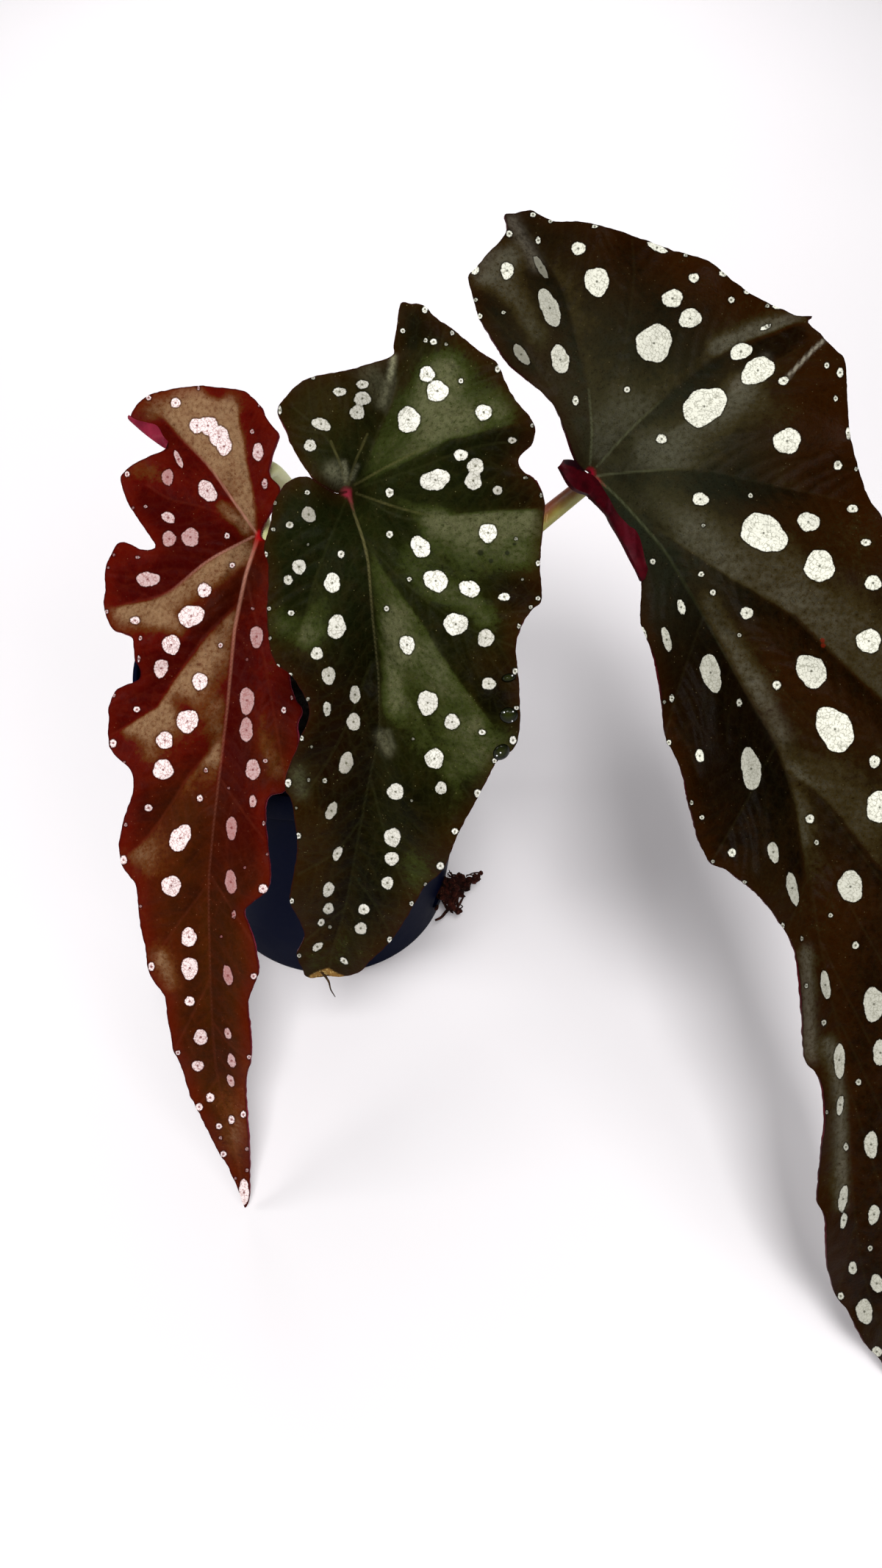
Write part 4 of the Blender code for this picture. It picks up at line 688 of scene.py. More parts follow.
def on_leaf(leaf, points, lift=0.0):
    """The places in space of picture points on a leaf's upper face."""
    sinus, length, down, face = leaf_frame(leaf)
    lines = sight_lines(points)
    depth = (sinus - EYE).dot(face) / (lines @ face)
    along = (EYE + lines * depth[:, None] - sinus) @ down / length
    stand = relief(leaf, points, along) + lift
    depth = ((sinus - EYE).dot(face) + stand) / (lines @ face)
    return EYE + lines * depth[:, None]


def inside(points, outline):
    """Which points lie inside a closed outline."""
    x, y = points[:, 0], points[:, 1]
    found = np.zeros(len(points), bool)
    for (ax, ay), (bx, by) in zip(outline, np.roll(outline, -1, axis=0)):
        if ay == by:
            continue
        found ^= ((ay > y) != (by > y)) & (x < (bx - ax) * (y - ay) / (by - ay) + ax)
    return found


def unit(vectors):
    return vectors / np.linalg.norm(vectors, axis=-1)[..., None]


def curve_through(places, spacing, closed=False):
    """Points about this far apart on a Catmull-Rom curve through the places."""
    places = np.asarray(places, float)
    if closed:
        ends = np.vstack([places[-1:], places, places[:2]])
    else:
        ends = np.vstack([2 * places[0] - places[1], places, 2 * places[-1] - places[-2]])
    found = []
    for a, b, c, d in zip(ends, ends[1:], ends[2:], ends[3:]):
        steps = max(1, round(np.linalg.norm(c - b) / spacing))
        for t in np.arange(steps) / steps:
            found.append(0.5 * (2 * b + (c - a) * t + (2 * a - 5 * b + 4 * c - d) * t ** 2
                                + (3 * b - 3 * c + d - a) * t ** 3))
    if not closed:
        found.append(places[-1])
    return np.array(found)


def nearest(points, samples):
    """Each point's distance to the nearest sample."""
    tree = KDTree(len(samples))
    for index, (x, y) in enumerate(samples):
        tree.insert((x, y, 0), index)
    tree.balance()
    return np.array([tree.find((x, y, 0))[2] for x, y in points])


def spot_reach(spot, turns):
    """How far a spot's edge is from its middle in each direction.

    A spot is a slightly uneven ellipse, written as its middle, its box's width and height, and its lean in
    degrees (more than 0 from lower left to upper right).
    """
    x, y, wide, tall = spot[:4]
    lean = math.radians(spot[4]) if len(spot) > 4 else 0
    main, cross = max(wide, tall) / 2, min(wide, tall) / 2
    steady = max(-MOST_LEAN, min(MOST_LEAN, lean))
    cos2, sin2 = math.cos(steady) ** 2, math.sin(steady) ** 2
    long = math.sqrt((main ** 2 * cos2 - cross ** 2 * sin2) / (cos2 - sin2))
    short = math.sqrt(max(main ** 2 * SLIMMEST, (cross ** 2 * cos2 - main ** 2 * sin2) / (cos2 - sin2)))
    local = turns + lean if wide >= tall else turns - lean - math.pi / 2
    even = 1 / np.sqrt((np.cos(local) / long) ** 2 + (np.sin(local) / short) ** 2)
    phase = x * 1.7 + y * 0.9
    uneven = 1
    for count, phases, height in SPOT_WAVES:
        uneven = uneven + height * np.sin(count * turns + phases * phase)
    return even * uneven


def spot_distance(leaf, points):
    """The signed distance to the nearest spot's edge, less than 0 inside, and the distance to its middle."""
    edge, heart = np.full(len(points), NO_SPOT), np.full(len(points), NO_SPOT)
    for spot in leaf["spots"]:
        away = points - np.array(spot[:2], float)
        reach = np.hypot(away[:, 0], away[:, 1])
        close = reach < max(spot[2:4]) + SPOT_FIELD
        signed = reach[close] - spot_reach(spot, np.arctan2(away[close, 1], away[close, 0]))
        heart[close] = np.where(signed < edge[close], reach[close], heart[close])
        edge[close] = np.minimum(edge[close], signed)
    return edge, heart


def spot_marks(leaf):
    """Points at each spot's middle, along its edge and just outside it, so that the mesh holds it sharply."""
    found = []
    for spot in leaf["spots"]:
        middle = np.array(spot[:2], float)
        count = max(7, round(math.pi * (spot[2] + spot[3]) / 2 / MARK_STEP))
        turns = np.arange(count) * 2 * math.pi / count
        reach = spot_reach(spot, turns)
        ways = np.stack([np.cos(turns), np.sin(turns)], 1)
        found += [middle[None], middle + ways * reach[:, None], middle + ways * (reach[:, None] + MARK_RING)]
    return np.vstack(found)


def thinned(points, kept, gap):
    """The points that are at least this far from every kept one."""
    return points[nearest(points, kept) >= gap]


def toothed(rim, sinus):
    """A rim with fine uneven teeth, smooth near the sinus."""
    way = unit(np.roll(rim, -1, axis=0) - np.roll(rim, 1, axis=0))
    out = np.stack([-way[:, 1], way[:, 0]], 1)
    tooth = [0.9 * noise.noise((x / 8, y / 8, 0)) + 1.3 * max(0, noise.noise((x / 11, y / 11, 5))) for x, y in rim]
    calm = np.clip(np.linalg.norm(rim - sinus, axis=1) / TEETH_START - 0.3, 0, 1)
    return rim + out * (np.array(tooth) * calm)[:, None]


def sheet_points(leaf):
    """The picture points of a leaf's mesh: its rim first, then its spots' marks and a triangular grid."""
    spacing = leaf["spacing"]
    rim = toothed(curve_through(leaf["outline"], spacing, closed=True), np.array(leaf["sinus"], float))
    marks = spot_marks(leaf)
    marks = thinned(marks[inside(marks, rim)], rim, 0.35 * spacing)
    unique = {tuple(point) for point in np.round(marks / 0.7).astype(int)}
    marks = np.array(sorted(unique)) * 0.7
    low, high = rim.min(0), rim.max(0)
    grid = []
    for number, y in enumerate(np.arange(low[1], high[1], spacing * math.sqrt(0.75))):
        grid += [(x, y) for x in np.arange(low[0] + (number % 2) * spacing / 2, high[0], spacing)]
    grid = np.array(grid)
    grid = thinned(grid[inside(grid, rim)], np.vstack([rim, marks]), 0.6 * spacing)
    return rim, np.vstack([rim, marks, grid])


def side_veins(mains, rim):
    """Small veins that leave the main ones on each side and bend towards the margin."""
    trunks = np.vstack([curve_through(path, SIDE_STEP) for path in mains])
    heads, ways, aheads = [], [], []
    for path in mains:
        trunk = curve_through(path, SIDE_SPACING)
        for number in range(1, len(trunk) - 1):
            ahead = unit(trunk[number + 1] - trunk[number - 1])
            for side in (-1, 1):
                turn = side * math.radians(SIDE_ANGLE + 6 * math.sin(number * 2.3))
                heads.append(trunk[number])
                ways.append((ahead[0] * math.cos(turn) - ahead[1] * math.sin(turn),
                             ahead[0] * math.sin(turn) + ahead[1] * math.cos(turn)))
                aheads.append(ahead)
    heads, ways, aheads = np.array(heads), np.array(ways), np.array(aheads)
    paths = [[head] for head in heads]
    growing = np.arange(len(heads))
    for step in range(SIDE_STEPS):
        ways = unit(ways + SIDE_BEND * aheads)
        heads = heads + SIDE_STEP * ways
        free = inside(heads, rim)
        if step > 3:
            free &= nearest(heads, trunks) >= SIDE_CLEAR
        heads, ways, aheads, growing = heads[free], ways[free], aheads[free], growing[free]
        for index, head in zip(growing, heads):
            paths[index].append(head)
    return [path for path in paths if len(path) > 3]


def strokes(points, marks):
    """How strongly each soft stroke (its strength, width and path) covers the points, with a row of none."""
    rows = [strength * bell(to_path(points, path)[0], width) for strength, width, path in marks]
    return np.array([np.zeros(len(points)), *rows])


def fold_shade(points, path, left, right, width):
    """Light on one side of a vein and shade on the other, as its fold gives them."""
    away, where, side = to_path(points, path)
    length = np.linalg.norm(np.diff(np.array(path, float), axis=0), axis=1).sum()
    ends = np.clip(where / FOLD_START, 0, 1) * np.clip((length - where) / FOLD_END, 0, 1)
    level = (left + right) / 2 + (left - right) / 2 * np.tanh(side * away / FOLD_LINE)
    return level * np.exp(-(away / width) ** 1.4) * ends


def leaf_fields(leaf, points, rim):
    """What the shape and the colours of a leaf are worked out from, at each of its picture points."""
    mains = [leaf["midrib"]] + [path for depth, _, path in leaf["creases"] if depth < 0] + leaf["veins"]
    lines = {"vein": mains, "side_vein": side_veins(mains, rim), "bold": leaf["bold"]}
    fields = {name: nearest(points, np.vstack([curve_through(path, LINE_STEP) for path in paths]))
              for name, paths in lines.items()}
    fields["midrib"] = to_path(points, leaf["midrib"])[0]
    fields["rim"] = nearest(points, curve_through(leaf["outline"], LINE_STEP, closed=True))
    fields["spot"], fields["heart"] = spot_distance(leaf, points)
    # The light strokes and the folds add up to painted light (above 0) and painted shade (below 0)
    painted_light_and_shade = strokes(points, leaf["light"]).sum(0)
    for left, right, width, path in leaf["folds"]:
        painted_light_and_shade += fold_shade(points, path, left, right, width)
    fields["painted_light_and_shade"] = np.clip(painted_light_and_shade, -1.5, 1.5)
    for name in ("brown", "painted_sheen_and_scuffs", "shade"):
        fields[name] = strokes(points, leaf.get(name, [])).max(0)
    # Dark blemishes, and painted shade in a rolled margin's hollow
    fields["dark_mark_and_hollow_shade"] = np.full(len(points), 9.0)
    for x, y, size in leaf.get("dark_marks_and_hollow_shade", []):
        fields["dark_mark_and_hollow_shade"] = np.minimum(fields["dark_mark_and_hollow_shade"], np.hypot(points[:, 0] - x, points[:, 1] - y) / size)
    fields["dry"] = bell(to_path(points, leaf["dry"])[0], 3.5) if "dry" in leaf else np.zeros(len(points))
    for name in ("sinus", "tip"):
        fields[name] = np.linalg.norm(points - np.array(leaf[name]), axis=1)
    return fields


def fine_relief(fields, points):
    """The grooves of the veins and the soft quilting between them, on the upper face."""
    lift = VEIN_GROOVE * bell(fields["vein"], 4) - SIDE_GROOVE * bell(fields["side_vein"], 2.6)
    lift += QUILTING * np.clip(fields["side_vein"] / 14, 0, 1)
    lift += ROUGHNESS * np.array([noise.noise((x / 13, y / 13, 0)) for x, y in points])
    return lift * np.clip(fields["rim"] / 8, 0, 1)


def under_thickness(fields):
    """The blade's thickness with the raised ribs of its underside."""
    ribs = MIDRIB_RIB * bell(fields["midrib"], 5) * np.clip(fields["tip"] / 300, 0.2, 1)
    ribs += VEIN_RIB * bell(fields["vein"], 3.4) + SIDE_RIB * bell(fields["side_vein"], 2.2)
    return BLADE + ribs * np.clip(fields["rim"] / 10, 0, 1)


def curl_strip(leaf, spacing):
    """A turned-up margin's bend, and its rows: the picture points and the places in space of each."""
    curl = leaf["curl"]
    bend = curve_through(curl["bend"], spacing)
    share = np.linspace(0, 1, len(bend))
    edge = curve_through(curl["edge"], spacing)
    edge = np.stack([np.interp(share, np.linspace(0, 1, len(edge)), edge[:, axis]) for axis in (0, 1)], 1)
    face = leaf_frame(leaf)[3]
    low, high = on_leaf(leaf, bend), on_leaf(leaf, edge)
    fade = 0.35 + 0.65 * np.sin(share * math.pi) ** 0.5
    rows = []
    for number in range(1, CURL_ROWS + 1):
        turn = math.pi * min(1, number / (CURL_ROWS / 2))
        across = max(0, (number - 3) / (CURL_ROWS - 3))
        lift = (1 - math.cos(turn)) * CURL_RISE * MM + 0.5 * MM * across
        flat = bend + (edge - bend) * across
        place = low + (high - low) * across + face * (lift * fade)[:, None]
        rows.append((flat, place))
    return bend, rows


def triangulated(points, rim_count):
    """A mesh of the points inside the rim that the first of them draw."""
    made = delaunay_2d_cdt([Vector(point) for point in points], [], [list(range(rim_count))], 1, 1e-4)
    return np.array([tuple(point) for point in made[0]]), np.array(made[2])


def facing(places, faces, toward):
    """The faces, all turned so that they face this place."""
    a, b, c = (places[faces[:, index]] for index in range(3))
    normals = np.cross(b - a, c - a)
    backwards = (normals * (toward - a)).sum(1).sum() < 0
    return faces[:, ::-1] if backwards else faces


def curl_faces(leaf, flat, faces, bend, row_count):
    """The faces that join a turned-up margin's rows to each other and to the blade's own rim."""
    joined = np.array(leaf["curl"]["bend"][-leaf["curl"]["joined"]], float)
    start = int(np.linalg.norm(bend - joined, axis=1).argmin())
    previous = [None] * len(bend)
    for column in range(start, len(bend)):
        previous[column] = int(np.linalg.norm(flat - bend[column], axis=1).argmin())
    found = []
    for number in range(row_count):
        first = len(flat) + number * len(bend)
        current = list(range(first, first + len(bend)))
        for left in range(len(bend) - 1):
            corners = (previous[left], previous[left + 1], current[left + 1], current[left])
            if None in corners or corners[0] == corners[1]:
                continue
            found += [(corners[0], corners[1], corners[2]), (corners[0], corners[2], corners[3])]
        previous = current
    found = np.array(found)
    return found if turned_alike(faces, found) else found[:, ::-1]


def turned_alike(faces, strip):
    """Whether a strip's faces turn the same way as the faces that they join."""
    close = faces[np.isin(faces, strip).sum(1) >= 2]
    edges = {(face[index - 1], face[index]) for face in close.tolist() for index in range(3)}
    ends = [(face[index - 1], face[index]) for face in strip.tolist() for index in range(3)]
    return sum(pair[::-1] in edges for pair in ends) >= sum(pair in edges for pair in ends)


def point_normals(places, faces):
    """Each point's normal, as the mean of its faces' normals by their areas."""
    a, b, c = (places[faces[:, index]] for index in range(3))
    across = np.cross(b - a, c - a)
    normals = np.zeros_like(places)
    for index in range(3):
        np.add.at(normals, faces[:, index], across)
    return normals / np.maximum(np.linalg.norm(normals, axis=1), 1e-12)[:, None]


def open_edges(faces):
    """The edges that only one face has, each in that face's own direction."""
    ends = np.concatenate([faces[:, [0, 1]], faces[:, [1, 2]], faces[:, [2, 0]]])
    keys = np.sort(ends, axis=1)
    _, index, count = np.unique(keys, axis=0, return_inverse=True, return_counts=True)
    return ends[count[index.reshape(-1)] == 1]


def closed_blade(name, places, faces, thickness, fields, materials):
    """A blade with an upper and a lower face and a rim, carrying its fields as attributes."""
    count = len(places)
    under = places - point_normals(places, faces) * thickness[:, None]
    edges = open_edges(faces)
    walls = np.stack([edges[:, 1], edges[:, 0], edges[:, 0] + count, edges[:, 1] + count], 1)
    mesh = bpy.data.meshes.new(name)
    polygons = faces.tolist() + (faces[:, ::-1] + count).tolist() + walls.tolist()
    mesh.from_pydata(np.vstack([places, under]).tolist(), [], polygons)
    mesh.polygons.foreach_set("material_index", [0] * len(faces) + [1] * (len(faces) + len(walls)))
    for field, values in fields.items():
        layer = mesh.attributes.new(field, "FLOAT", "POINT")
        layer.data.foreach_set("value", np.concatenate([values, values]).astype(np.float32))
    for one in materials:
        mesh.materials.append(one)
    mesh.shade_smooth()
    mesh.set_sharp_from_angle(angle=math.radians(60))
    return add_piece(name, mesh)


def add_piece(name, data):
    """Puts an object with this data into the scene."""
    obj = bpy.data.objects.new(name, data)
    bpy.context.scene.collection.objects.link(obj)
    return obj


def mesh_from(shape, name, material=None, smooth=False):
    """Turns a finished bmesh shape into a mesh."""
    mesh = bpy.data.meshes.new(name)
    shape.to_mesh(mesh)
    shape.free()
    if smooth:
        mesh.shade_smooth()
    if material:
        mesh.materials.append(material)
    return mesh


def piece_from(shape, name, material=None, smooth=False):
    """Turns a finished bmesh shape into a piece."""
    return add_piece(name, mesh_from(shape, name, material, smooth))


def make_leaf(leaf, materials):
    """A leaf's fine blade in place of its CAD solid."""
    rim, points = sheet_points(leaf)
    flat, faces = triangulated(points, len(rim))
    faces = facing(on_leaf(leaf, flat), faces, EYE)
    base_count = len(flat)
    if "curl" in leaf:
        bend, rows = curl_strip(leaf, leaf["spacing"])
        faces = np.vstack([faces, curl_faces(leaf, flat, faces, bend, len(rows))])
        flat = np.vstack([flat] + [row[0] for row in rows])
    fields = leaf_fields(leaf, flat, rim)
    places = on_leaf(leaf, flat, fine_relief(fields, flat))
    if "curl" in leaf:
        places[base_count:] = np.vstack([row[1] for row in rows])
    blade = closed_blade("blade_" + leaf["name"][5:], places, faces, under_thickness(fields), fields, materials)
    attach(blade, "root")
    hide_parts(leaf["name"])


def colour(code):
    """A paint's linear colour from the hexadecimal screen colour that it shows in this studio."""
    parts = [int(code[index:index + 2], 16) / 255 for index in (0, 2, 4)]
    linear = [part / 12.92 if part <= 0.04045 else ((part + 0.055) / 1.055) ** 2.4 for part in parts]
    return (*(min(part * PAINT, 0.95) for part in linear), 1)


class Look:
    """A Principled material whose nodes are added one short call at a time."""

    def __init__(self, name):
        self.material = bpy.data.materials.new(name)
        self.material.use_nodes = True
        self.tree = self.material.node_tree
        self.shader = self.tree.nodes["Principled BSDF"]

    def put(self, socket, value):
        if isinstance(value, bpy.types.NodeSocket):
            self.tree.links.new(value, socket)
        elif isinstance(value, str):
            socket.default_value = colour(value)
        else:
            socket.default_value = value

    def set(self, name, value):
        self.put(self.shader.inputs[name], value)

    def attribute(self, name):
        node = self.tree.nodes.new("ShaderNodeAttribute")
        node.attribute_name = name
        return node.outputs["Fac"]

    def place(self, stretch=(1, 1, 1)):
        node = self.tree.nodes.new("ShaderNodeTexCoord")
        if stretch == (1, 1, 1):
            return node.outputs["Object"]
        scaled = self.tree.nodes.new("ShaderNodeMapping")
        scaled.inputs["Scale"].default_value = stretch
        self.tree.links.new(node.outputs["Object"], scaled.inputs["Vector"])
        return scaled.outputs["Vector"]

    def noise(self, size, detail=3, rough=0.5, stretch=(1, 1, 1)):
        """Noise from 0 to 1 with features about this many metres across."""
        node = self.tree.nodes.new("ShaderNodeTexNoise")
        node.inputs["Scale"].default_value = 1 / size
        node.inputs["Detail"].default_value = detail
        node.inputs["Roughness"].default_value = rough
        self.tree.links.new(self.place(stretch), node.inputs["Vector"])
        return node.outputs["Fac"]

    def cells(self, size, feature="DISTANCE_TO_EDGE"):
        node = self.tree.nodes.new("ShaderNodeTexVoronoi")
        node.feature = feature
        node.inputs["Scale"].default_value = 1 / size
        self.tree.links.new(self.place(), node.inputs["Vector"])
        return node.outputs["Distance"]

    def maths(self, operation, first, second=0.0, third=0.0):
        node = self.tree.nodes.new("ShaderNodeMath")
        node.operation = operation
        for socket, value in zip(node.inputs, (first, second, third)):
            self.put(socket, value)
        return node.outputs[0]

    def ramp(self, value, low, high, start=0.0, end=1.0):
        """A smooth step from start to end as the value goes from low to high."""
        node = self.tree.nodes.new("ShaderNodeMapRange")
        node.interpolation_type = "SMOOTHSTEP"
        for name, number in (("From Min", low), ("From Max", high), ("To Min", start), ("To Max", end)):
            node.inputs[name].default_value = number
        self.put(node.inputs["Value"], value)
        return node.outputs["Result"]

    def mix(self, share, first, second):
        node = self.tree.nodes.new("ShaderNodeMix")
        node.data_type = "RGBA"
        self.put(node.inputs["Factor"], share)
        self.put(node.inputs[6], first)
        self.put(node.inputs[7], second)
        return node.outputs[2]

    def over(self, ground, paint, value, low, high, start=0.0, end=1.0):
        """The ground under a paint whose share goes from start to end as the value goes from low to high."""
        return self.mix(self.ramp(value, low, high, start, end), ground, paint)

    def times(self, first, second):
        return self.maths("MULTIPLY", first, second)

    def plus_scaled(self, base, value, factor):
        """The base plus the value times the factor."""
        return self.maths("MULTIPLY_ADD", value, factor, base)

    def bump(self, height, distance, strength=1.0):
        node = self.tree.nodes.new("ShaderNodeBump")
        node.inputs["Strength"].default_value = strength
        node.inputs["Distance"].default_value = distance
        self.put(node.inputs["Height"], height)
        self.put(self.shader.inputs["Normal"], node.outputs["Normal"])


def upper_material(name, tones):
    """A leaf's upper face: ground colour with lighter zones, veins, freckles and sharp pale spots.

    Each coat goes over the ones before it. The numbers after its value are the two values between which it fades
    (in picture points, where the value is a distance) and its share at each of them.
    """
    look = Look(name)
    sinus, rim, midrib = (look.attribute(field) for field in ("sinus", "rim", "midrib"))
    broad, patchy = look.noise(11 * MM, 4, 0.6), look.noise(2.6 * MM, 5, 0.7)
    grain, dots = look.noise(0.45 * MM, 3, 0.6), look.noise(0.9 * MM, 4, 0.75)

    # Ground colour, darkened and lightened by the painted light and shade of the blade's folds
    painted_light_and_shade = look.attribute("painted_light_and_shade")
    # Random tone variation is added to the painted light and shade
    for part, share in ((broad, 0.9), (patchy, 0.9), (dots, 0.9), (grain, 0.4)):
        painted_light_and_shade = look.plus_scaled(painted_light_and_shade, look.maths("SUBTRACT", part, 0.5), share)
    brown = look.attribute("brown")
    dark = look.mix(brown, tones["dark"], tones["brown_dark"])
    ground = look.over(dark, look.mix(brown, tones["deep"], tones["brown"]), painted_light_and_shade, -0.8, 0.0)
    ground = look.over(ground, tones["mid"], painted_light_and_shade, 0.0, 0.5)
    lit = look.times(look.ramp(painted_light_and_shade, 0.35, 1.35), look.ramp(dots, 0.36, 0.56, 0.45, 1))
    ground = look.mix(lit, ground, tones["lit"])
    ground = look.over(ground, tones["near"], sinus, 40, 330, tones["near_share"], 0)
    ground = look.over(ground, dark, dots, 0.42, 0.3, 0, 0.5)
    ground = look.over(ground, tones["mottle"], patchy, 0.42, 0.72, 0, 0.25)
    ground = look.over(ground, dark, grain, 0.5, 0.7, 0, 0.55)
    ground = look.over(ground, tones["rim"], rim, 2, 24, tones["rim_share"], 0)

    # Veins, from the finest net to the bold ones at the sinus
    ground = look.over(ground, tones["vein"], look.cells(2.2 * MM), 0.02, 0.12, 0.03, 0)
    ground = look.over(ground, tones["vein"], look.attribute("side_vein"), 0.8, 3.0, 0.03, 0)
    ground = look.over(ground, tones["vein"], look.attribute("vein"), 0.6, 3.0, tones["vein_share"], 0)
    widened = look.plus_scaled(midrib, sinus, 0.004)
    line = look.times(look.ramp(sinus, 60, 420, 1, 0.25),
                      look.ramp(widened, 0.8, tones["midrib_reach"], tones["midrib_share"], 0))
    ground = look.mix(line, ground, tones["midrib"])
    bold = look.times(look.ramp(sinus, 30, 190, 1, 0), tones["bold_share"])
    bold = look.times(look.ramp(look.attribute("bold"), 0.5, 2.8, 1, 0), bold)
    ground = look.mix(bold, ground, tones["bold"])
    reach = look.plus_scaled(look.times(sinus, 0.7), midrib, 4.0)
    reach = look.plus_scaled(reach, dots, 10)
    ground = look.over(ground, tones["crimson"], reach, 10, tones["crimson_reach"], 0.9, 0)
    ground = look.over(ground, tones["crimson"], look.plus_scaled(sinus, dots, 7), 6, 14, 0.95, 0)

    # Painted sheen and scuffs, dark blemishes with painted shade in a rolled margin's hollow, the edge, the torn
    # tip and dust
    painted_sheen_and_scuffs = look.times(look.attribute("painted_sheen_and_scuffs"), look.ramp(dots, 0.3, 0.65, 0.3, 1))
    ground = look.mix(painted_sheen_and_scuffs, ground, tones["painted_sheen_and_scuffs"])
    # Dark blemishes, and painted shade where a rolled margin is hollow
    ground = look.over(ground, tones["dark_mark_and_hollow_shade"], look.attribute("dark_mark_and_hollow_shade"), 0.6, 1.1, 0.8, 0)
    ground = look.over(ground, tones["edge"], rim, 0.5, 3.0, 0.8, 0)
    dry = look.over("7a5a2c", look.over("2c1c08", "b09458", grain, 0.5, 0.6), dots, 0.45, 0.6)
    ground = look.over(ground, dry, look.attribute("dry"), 0.3, 0.8)
    dust = look.times(look.ramp(look.cells(1.1 * MM, "F1"), 0.05, 0.13, 0.5, 0), look.ramp(patchy, 0.45, 0.6))
    ground = look.mix(dust, ground, tones["dust"])

    # Spots, with a dark halo, speckle and a small heart, greyed by painted shade where they lie in shade
    wobble = look.plus_scaled(look.attribute("spot"), look.maths("SUBTRACT", grain, 0.5), 2.2)
    ground = look.over(ground, tones["halo"], wobble, 0.6, 3.4, 0.65, 0)
    pale = look.mix(look.attribute("shade"), tones["spot"], tones["spot_shaded"])
    speckle = look.times(look.ramp(look.cells(0.75 * MM), 0.02, 0.15, 1, 0), look.ramp(dots, 0.4, 0.55))
    pale = look.mix(look.times(speckle, tones["speckle_share"]), pale, tones["speckle"])
    pale = look.over(pale, tones["speckle"], grain, 0.52, 0.75, 0, 0.5)
    pale = look.over(pale, tones["heart"], look.attribute("heart"), 1.2, 2.6, 0.85, 0)
    look.set("Base Color", look.over(ground, pale, wobble, -0.7, 0.7, 1, 0))
    look.set("Roughness", look.plus_scaled(tones["roughness"], patchy, 0.22))
    look.set("Specular IOR Level", 0.015)
    look.bump(look.plus_scaled(grain, look.cells(1.1 * MM), 0.7), 0.09 * MM, 0.8)
    return look.material


def lower_material(name, tones):
    """A leaf's underside: wine red with paler ribs, and near black at its dark marks, which in a rolled margin's
    hollow are painted shade.
    """
    look = Look(name)
    patchy = look.noise(3 * MM, 4, 0.6)
    ground = look.over(tones["under"], tones["under_dark"], patchy, 0.3, 0.7)
    ground = look.over(ground, tones["under_vein"], look.attribute("side_vein"), 0.8, 3.0, 0.3, 0)
    ground = look.over(ground, tones["under_vein"], look.attribute("vein"), 1.2, 4.2, 0.6, 0)
    ground = look.over(ground, tones["speckle"], look.attribute("spot"), -1.5, 1.0, 0.25, 0)
    # Near black at the dark marks: painted shade in the rolled margin's hollow
    look.set("Base Color", look.over(ground, "100408", look.attribute("dark_mark_and_hollow_shade"), 0.7, 1.2, 0.9, 0))
    look.set("Roughness", look.plus_scaled(0.36, patchy, 0.2))
    look.set("Specular IOR Level", 0.05)
    look.bump(look.noise(0.6 * MM, 3, 0.6), 0.08 * MM, 0.7)
    return look.material


# Each part's paint, share of paint or reach on the left, middle and right leaf
TONES = {
    "dark": ("330201", "070600", "070401"), "deep": ("480602", "131302", "170e03"),
    "mid": ("50290c", "2a300f", "2a210c"), "lit": ("84674a", "5a5a3e", "4c483a"),
    "mottle": ("4c1402", "241806", "1e1003"), "brown_dark": ("2b1002", "120600", "110600"),
    "brown": ("361803", "211302", "240e00"), "rim": ("520c02", "241102", "220d00"), "rim_share": (0.45, 0.5, 0.4),
    "vein": ("6c3020", "464828", "34301a"), "vein_share": (0.12, 0.08, 0.1), "bold": ("a07060", "54502e", "52553e"),
    "bold_share": (0.8, 0.5, 0.6), "midrib": ("94604e", "5a5436", "2c3018"), "midrib_share": (0.7, 0.55, 0.4),
    "near": ("50290c", "20280f", "343a2a"), "near_share": (0.0, 0.3, 0.35), "midrib_reach": (4.0, 3.0, 4.6),
    "crimson": ("96080e", "7c2030", "7c0c20"), "crimson_reach": (36, 34, 34),
    # The sheen paint is painted highlight; the dark-mark paint is for dark blemishes and painted hollow shade
    "painted_sheen_and_scuffs": ("806858", "a8a684", "746e60"), "dark_mark_and_hollow_shade": ("2a0804", "14160a", "5a1608"),
    "edge": ("340306", "260c06", "1a0804"), "halo": ("2a0402", "090a00", "070501"),
    "spot": ("e4d4d2", "e3e1d6", "dcdbcc"), "spot_shaded": ("946866", "8f8a80", "68655a"),
    "speckle": ("8c5450", "7c7a68", "7a7868"), "speckle_share": (0.7, 0.65, 0.65),
    "dust": ("8a5a40", "7a744c", "5c5238"), "heart": ("6c3434", "4c4a38", "444436"), "roughness": (0.3, 0.32, 0.28),
    "under": ("781c30", "5c1028", "3e040c"), "under_dark": ("5c1222", "3c0818", "260206"),
    "under_vein": ("7c303c", "7c4438", "501420"),
}


def stem_material(name, upper, lower, fleck):
    """A fleshy stem: darker on its upper side, greener below, with fine pale flecks."""
    look = Look(name)
    geometry = look.tree.nodes.new("ShaderNodeNewGeometry")
    split = look.tree.nodes.new("ShaderNodeSeparateXYZ")
    look.tree.links.new(geometry.outputs["Normal"], split.inputs[0])
    patchy = look.noise(3 * MM, 4, 0.6)
    height = look.plus_scaled(split.outputs["Z"], look.maths("SUBTRACT", patchy, 0.5), 0.9)
    ground = look.over(lower, upper, height, -0.35, 0.55)
    flecks = look.noise(0.7 * MM, 2, 0.5, (1, 1, 0.3))
    look.set("Base Color", look.over(ground, fleck, flecks, 0.62, 0.72, 0, 0.5))
    look.set("Roughness", look.plus_scaled(0.34, patchy, 0.2))
    look.bump(look.noise(0.5 * MM, 3, 0.6, (1, 1, 0.4)), 0.08 * MM, 0.6)
    return look.material


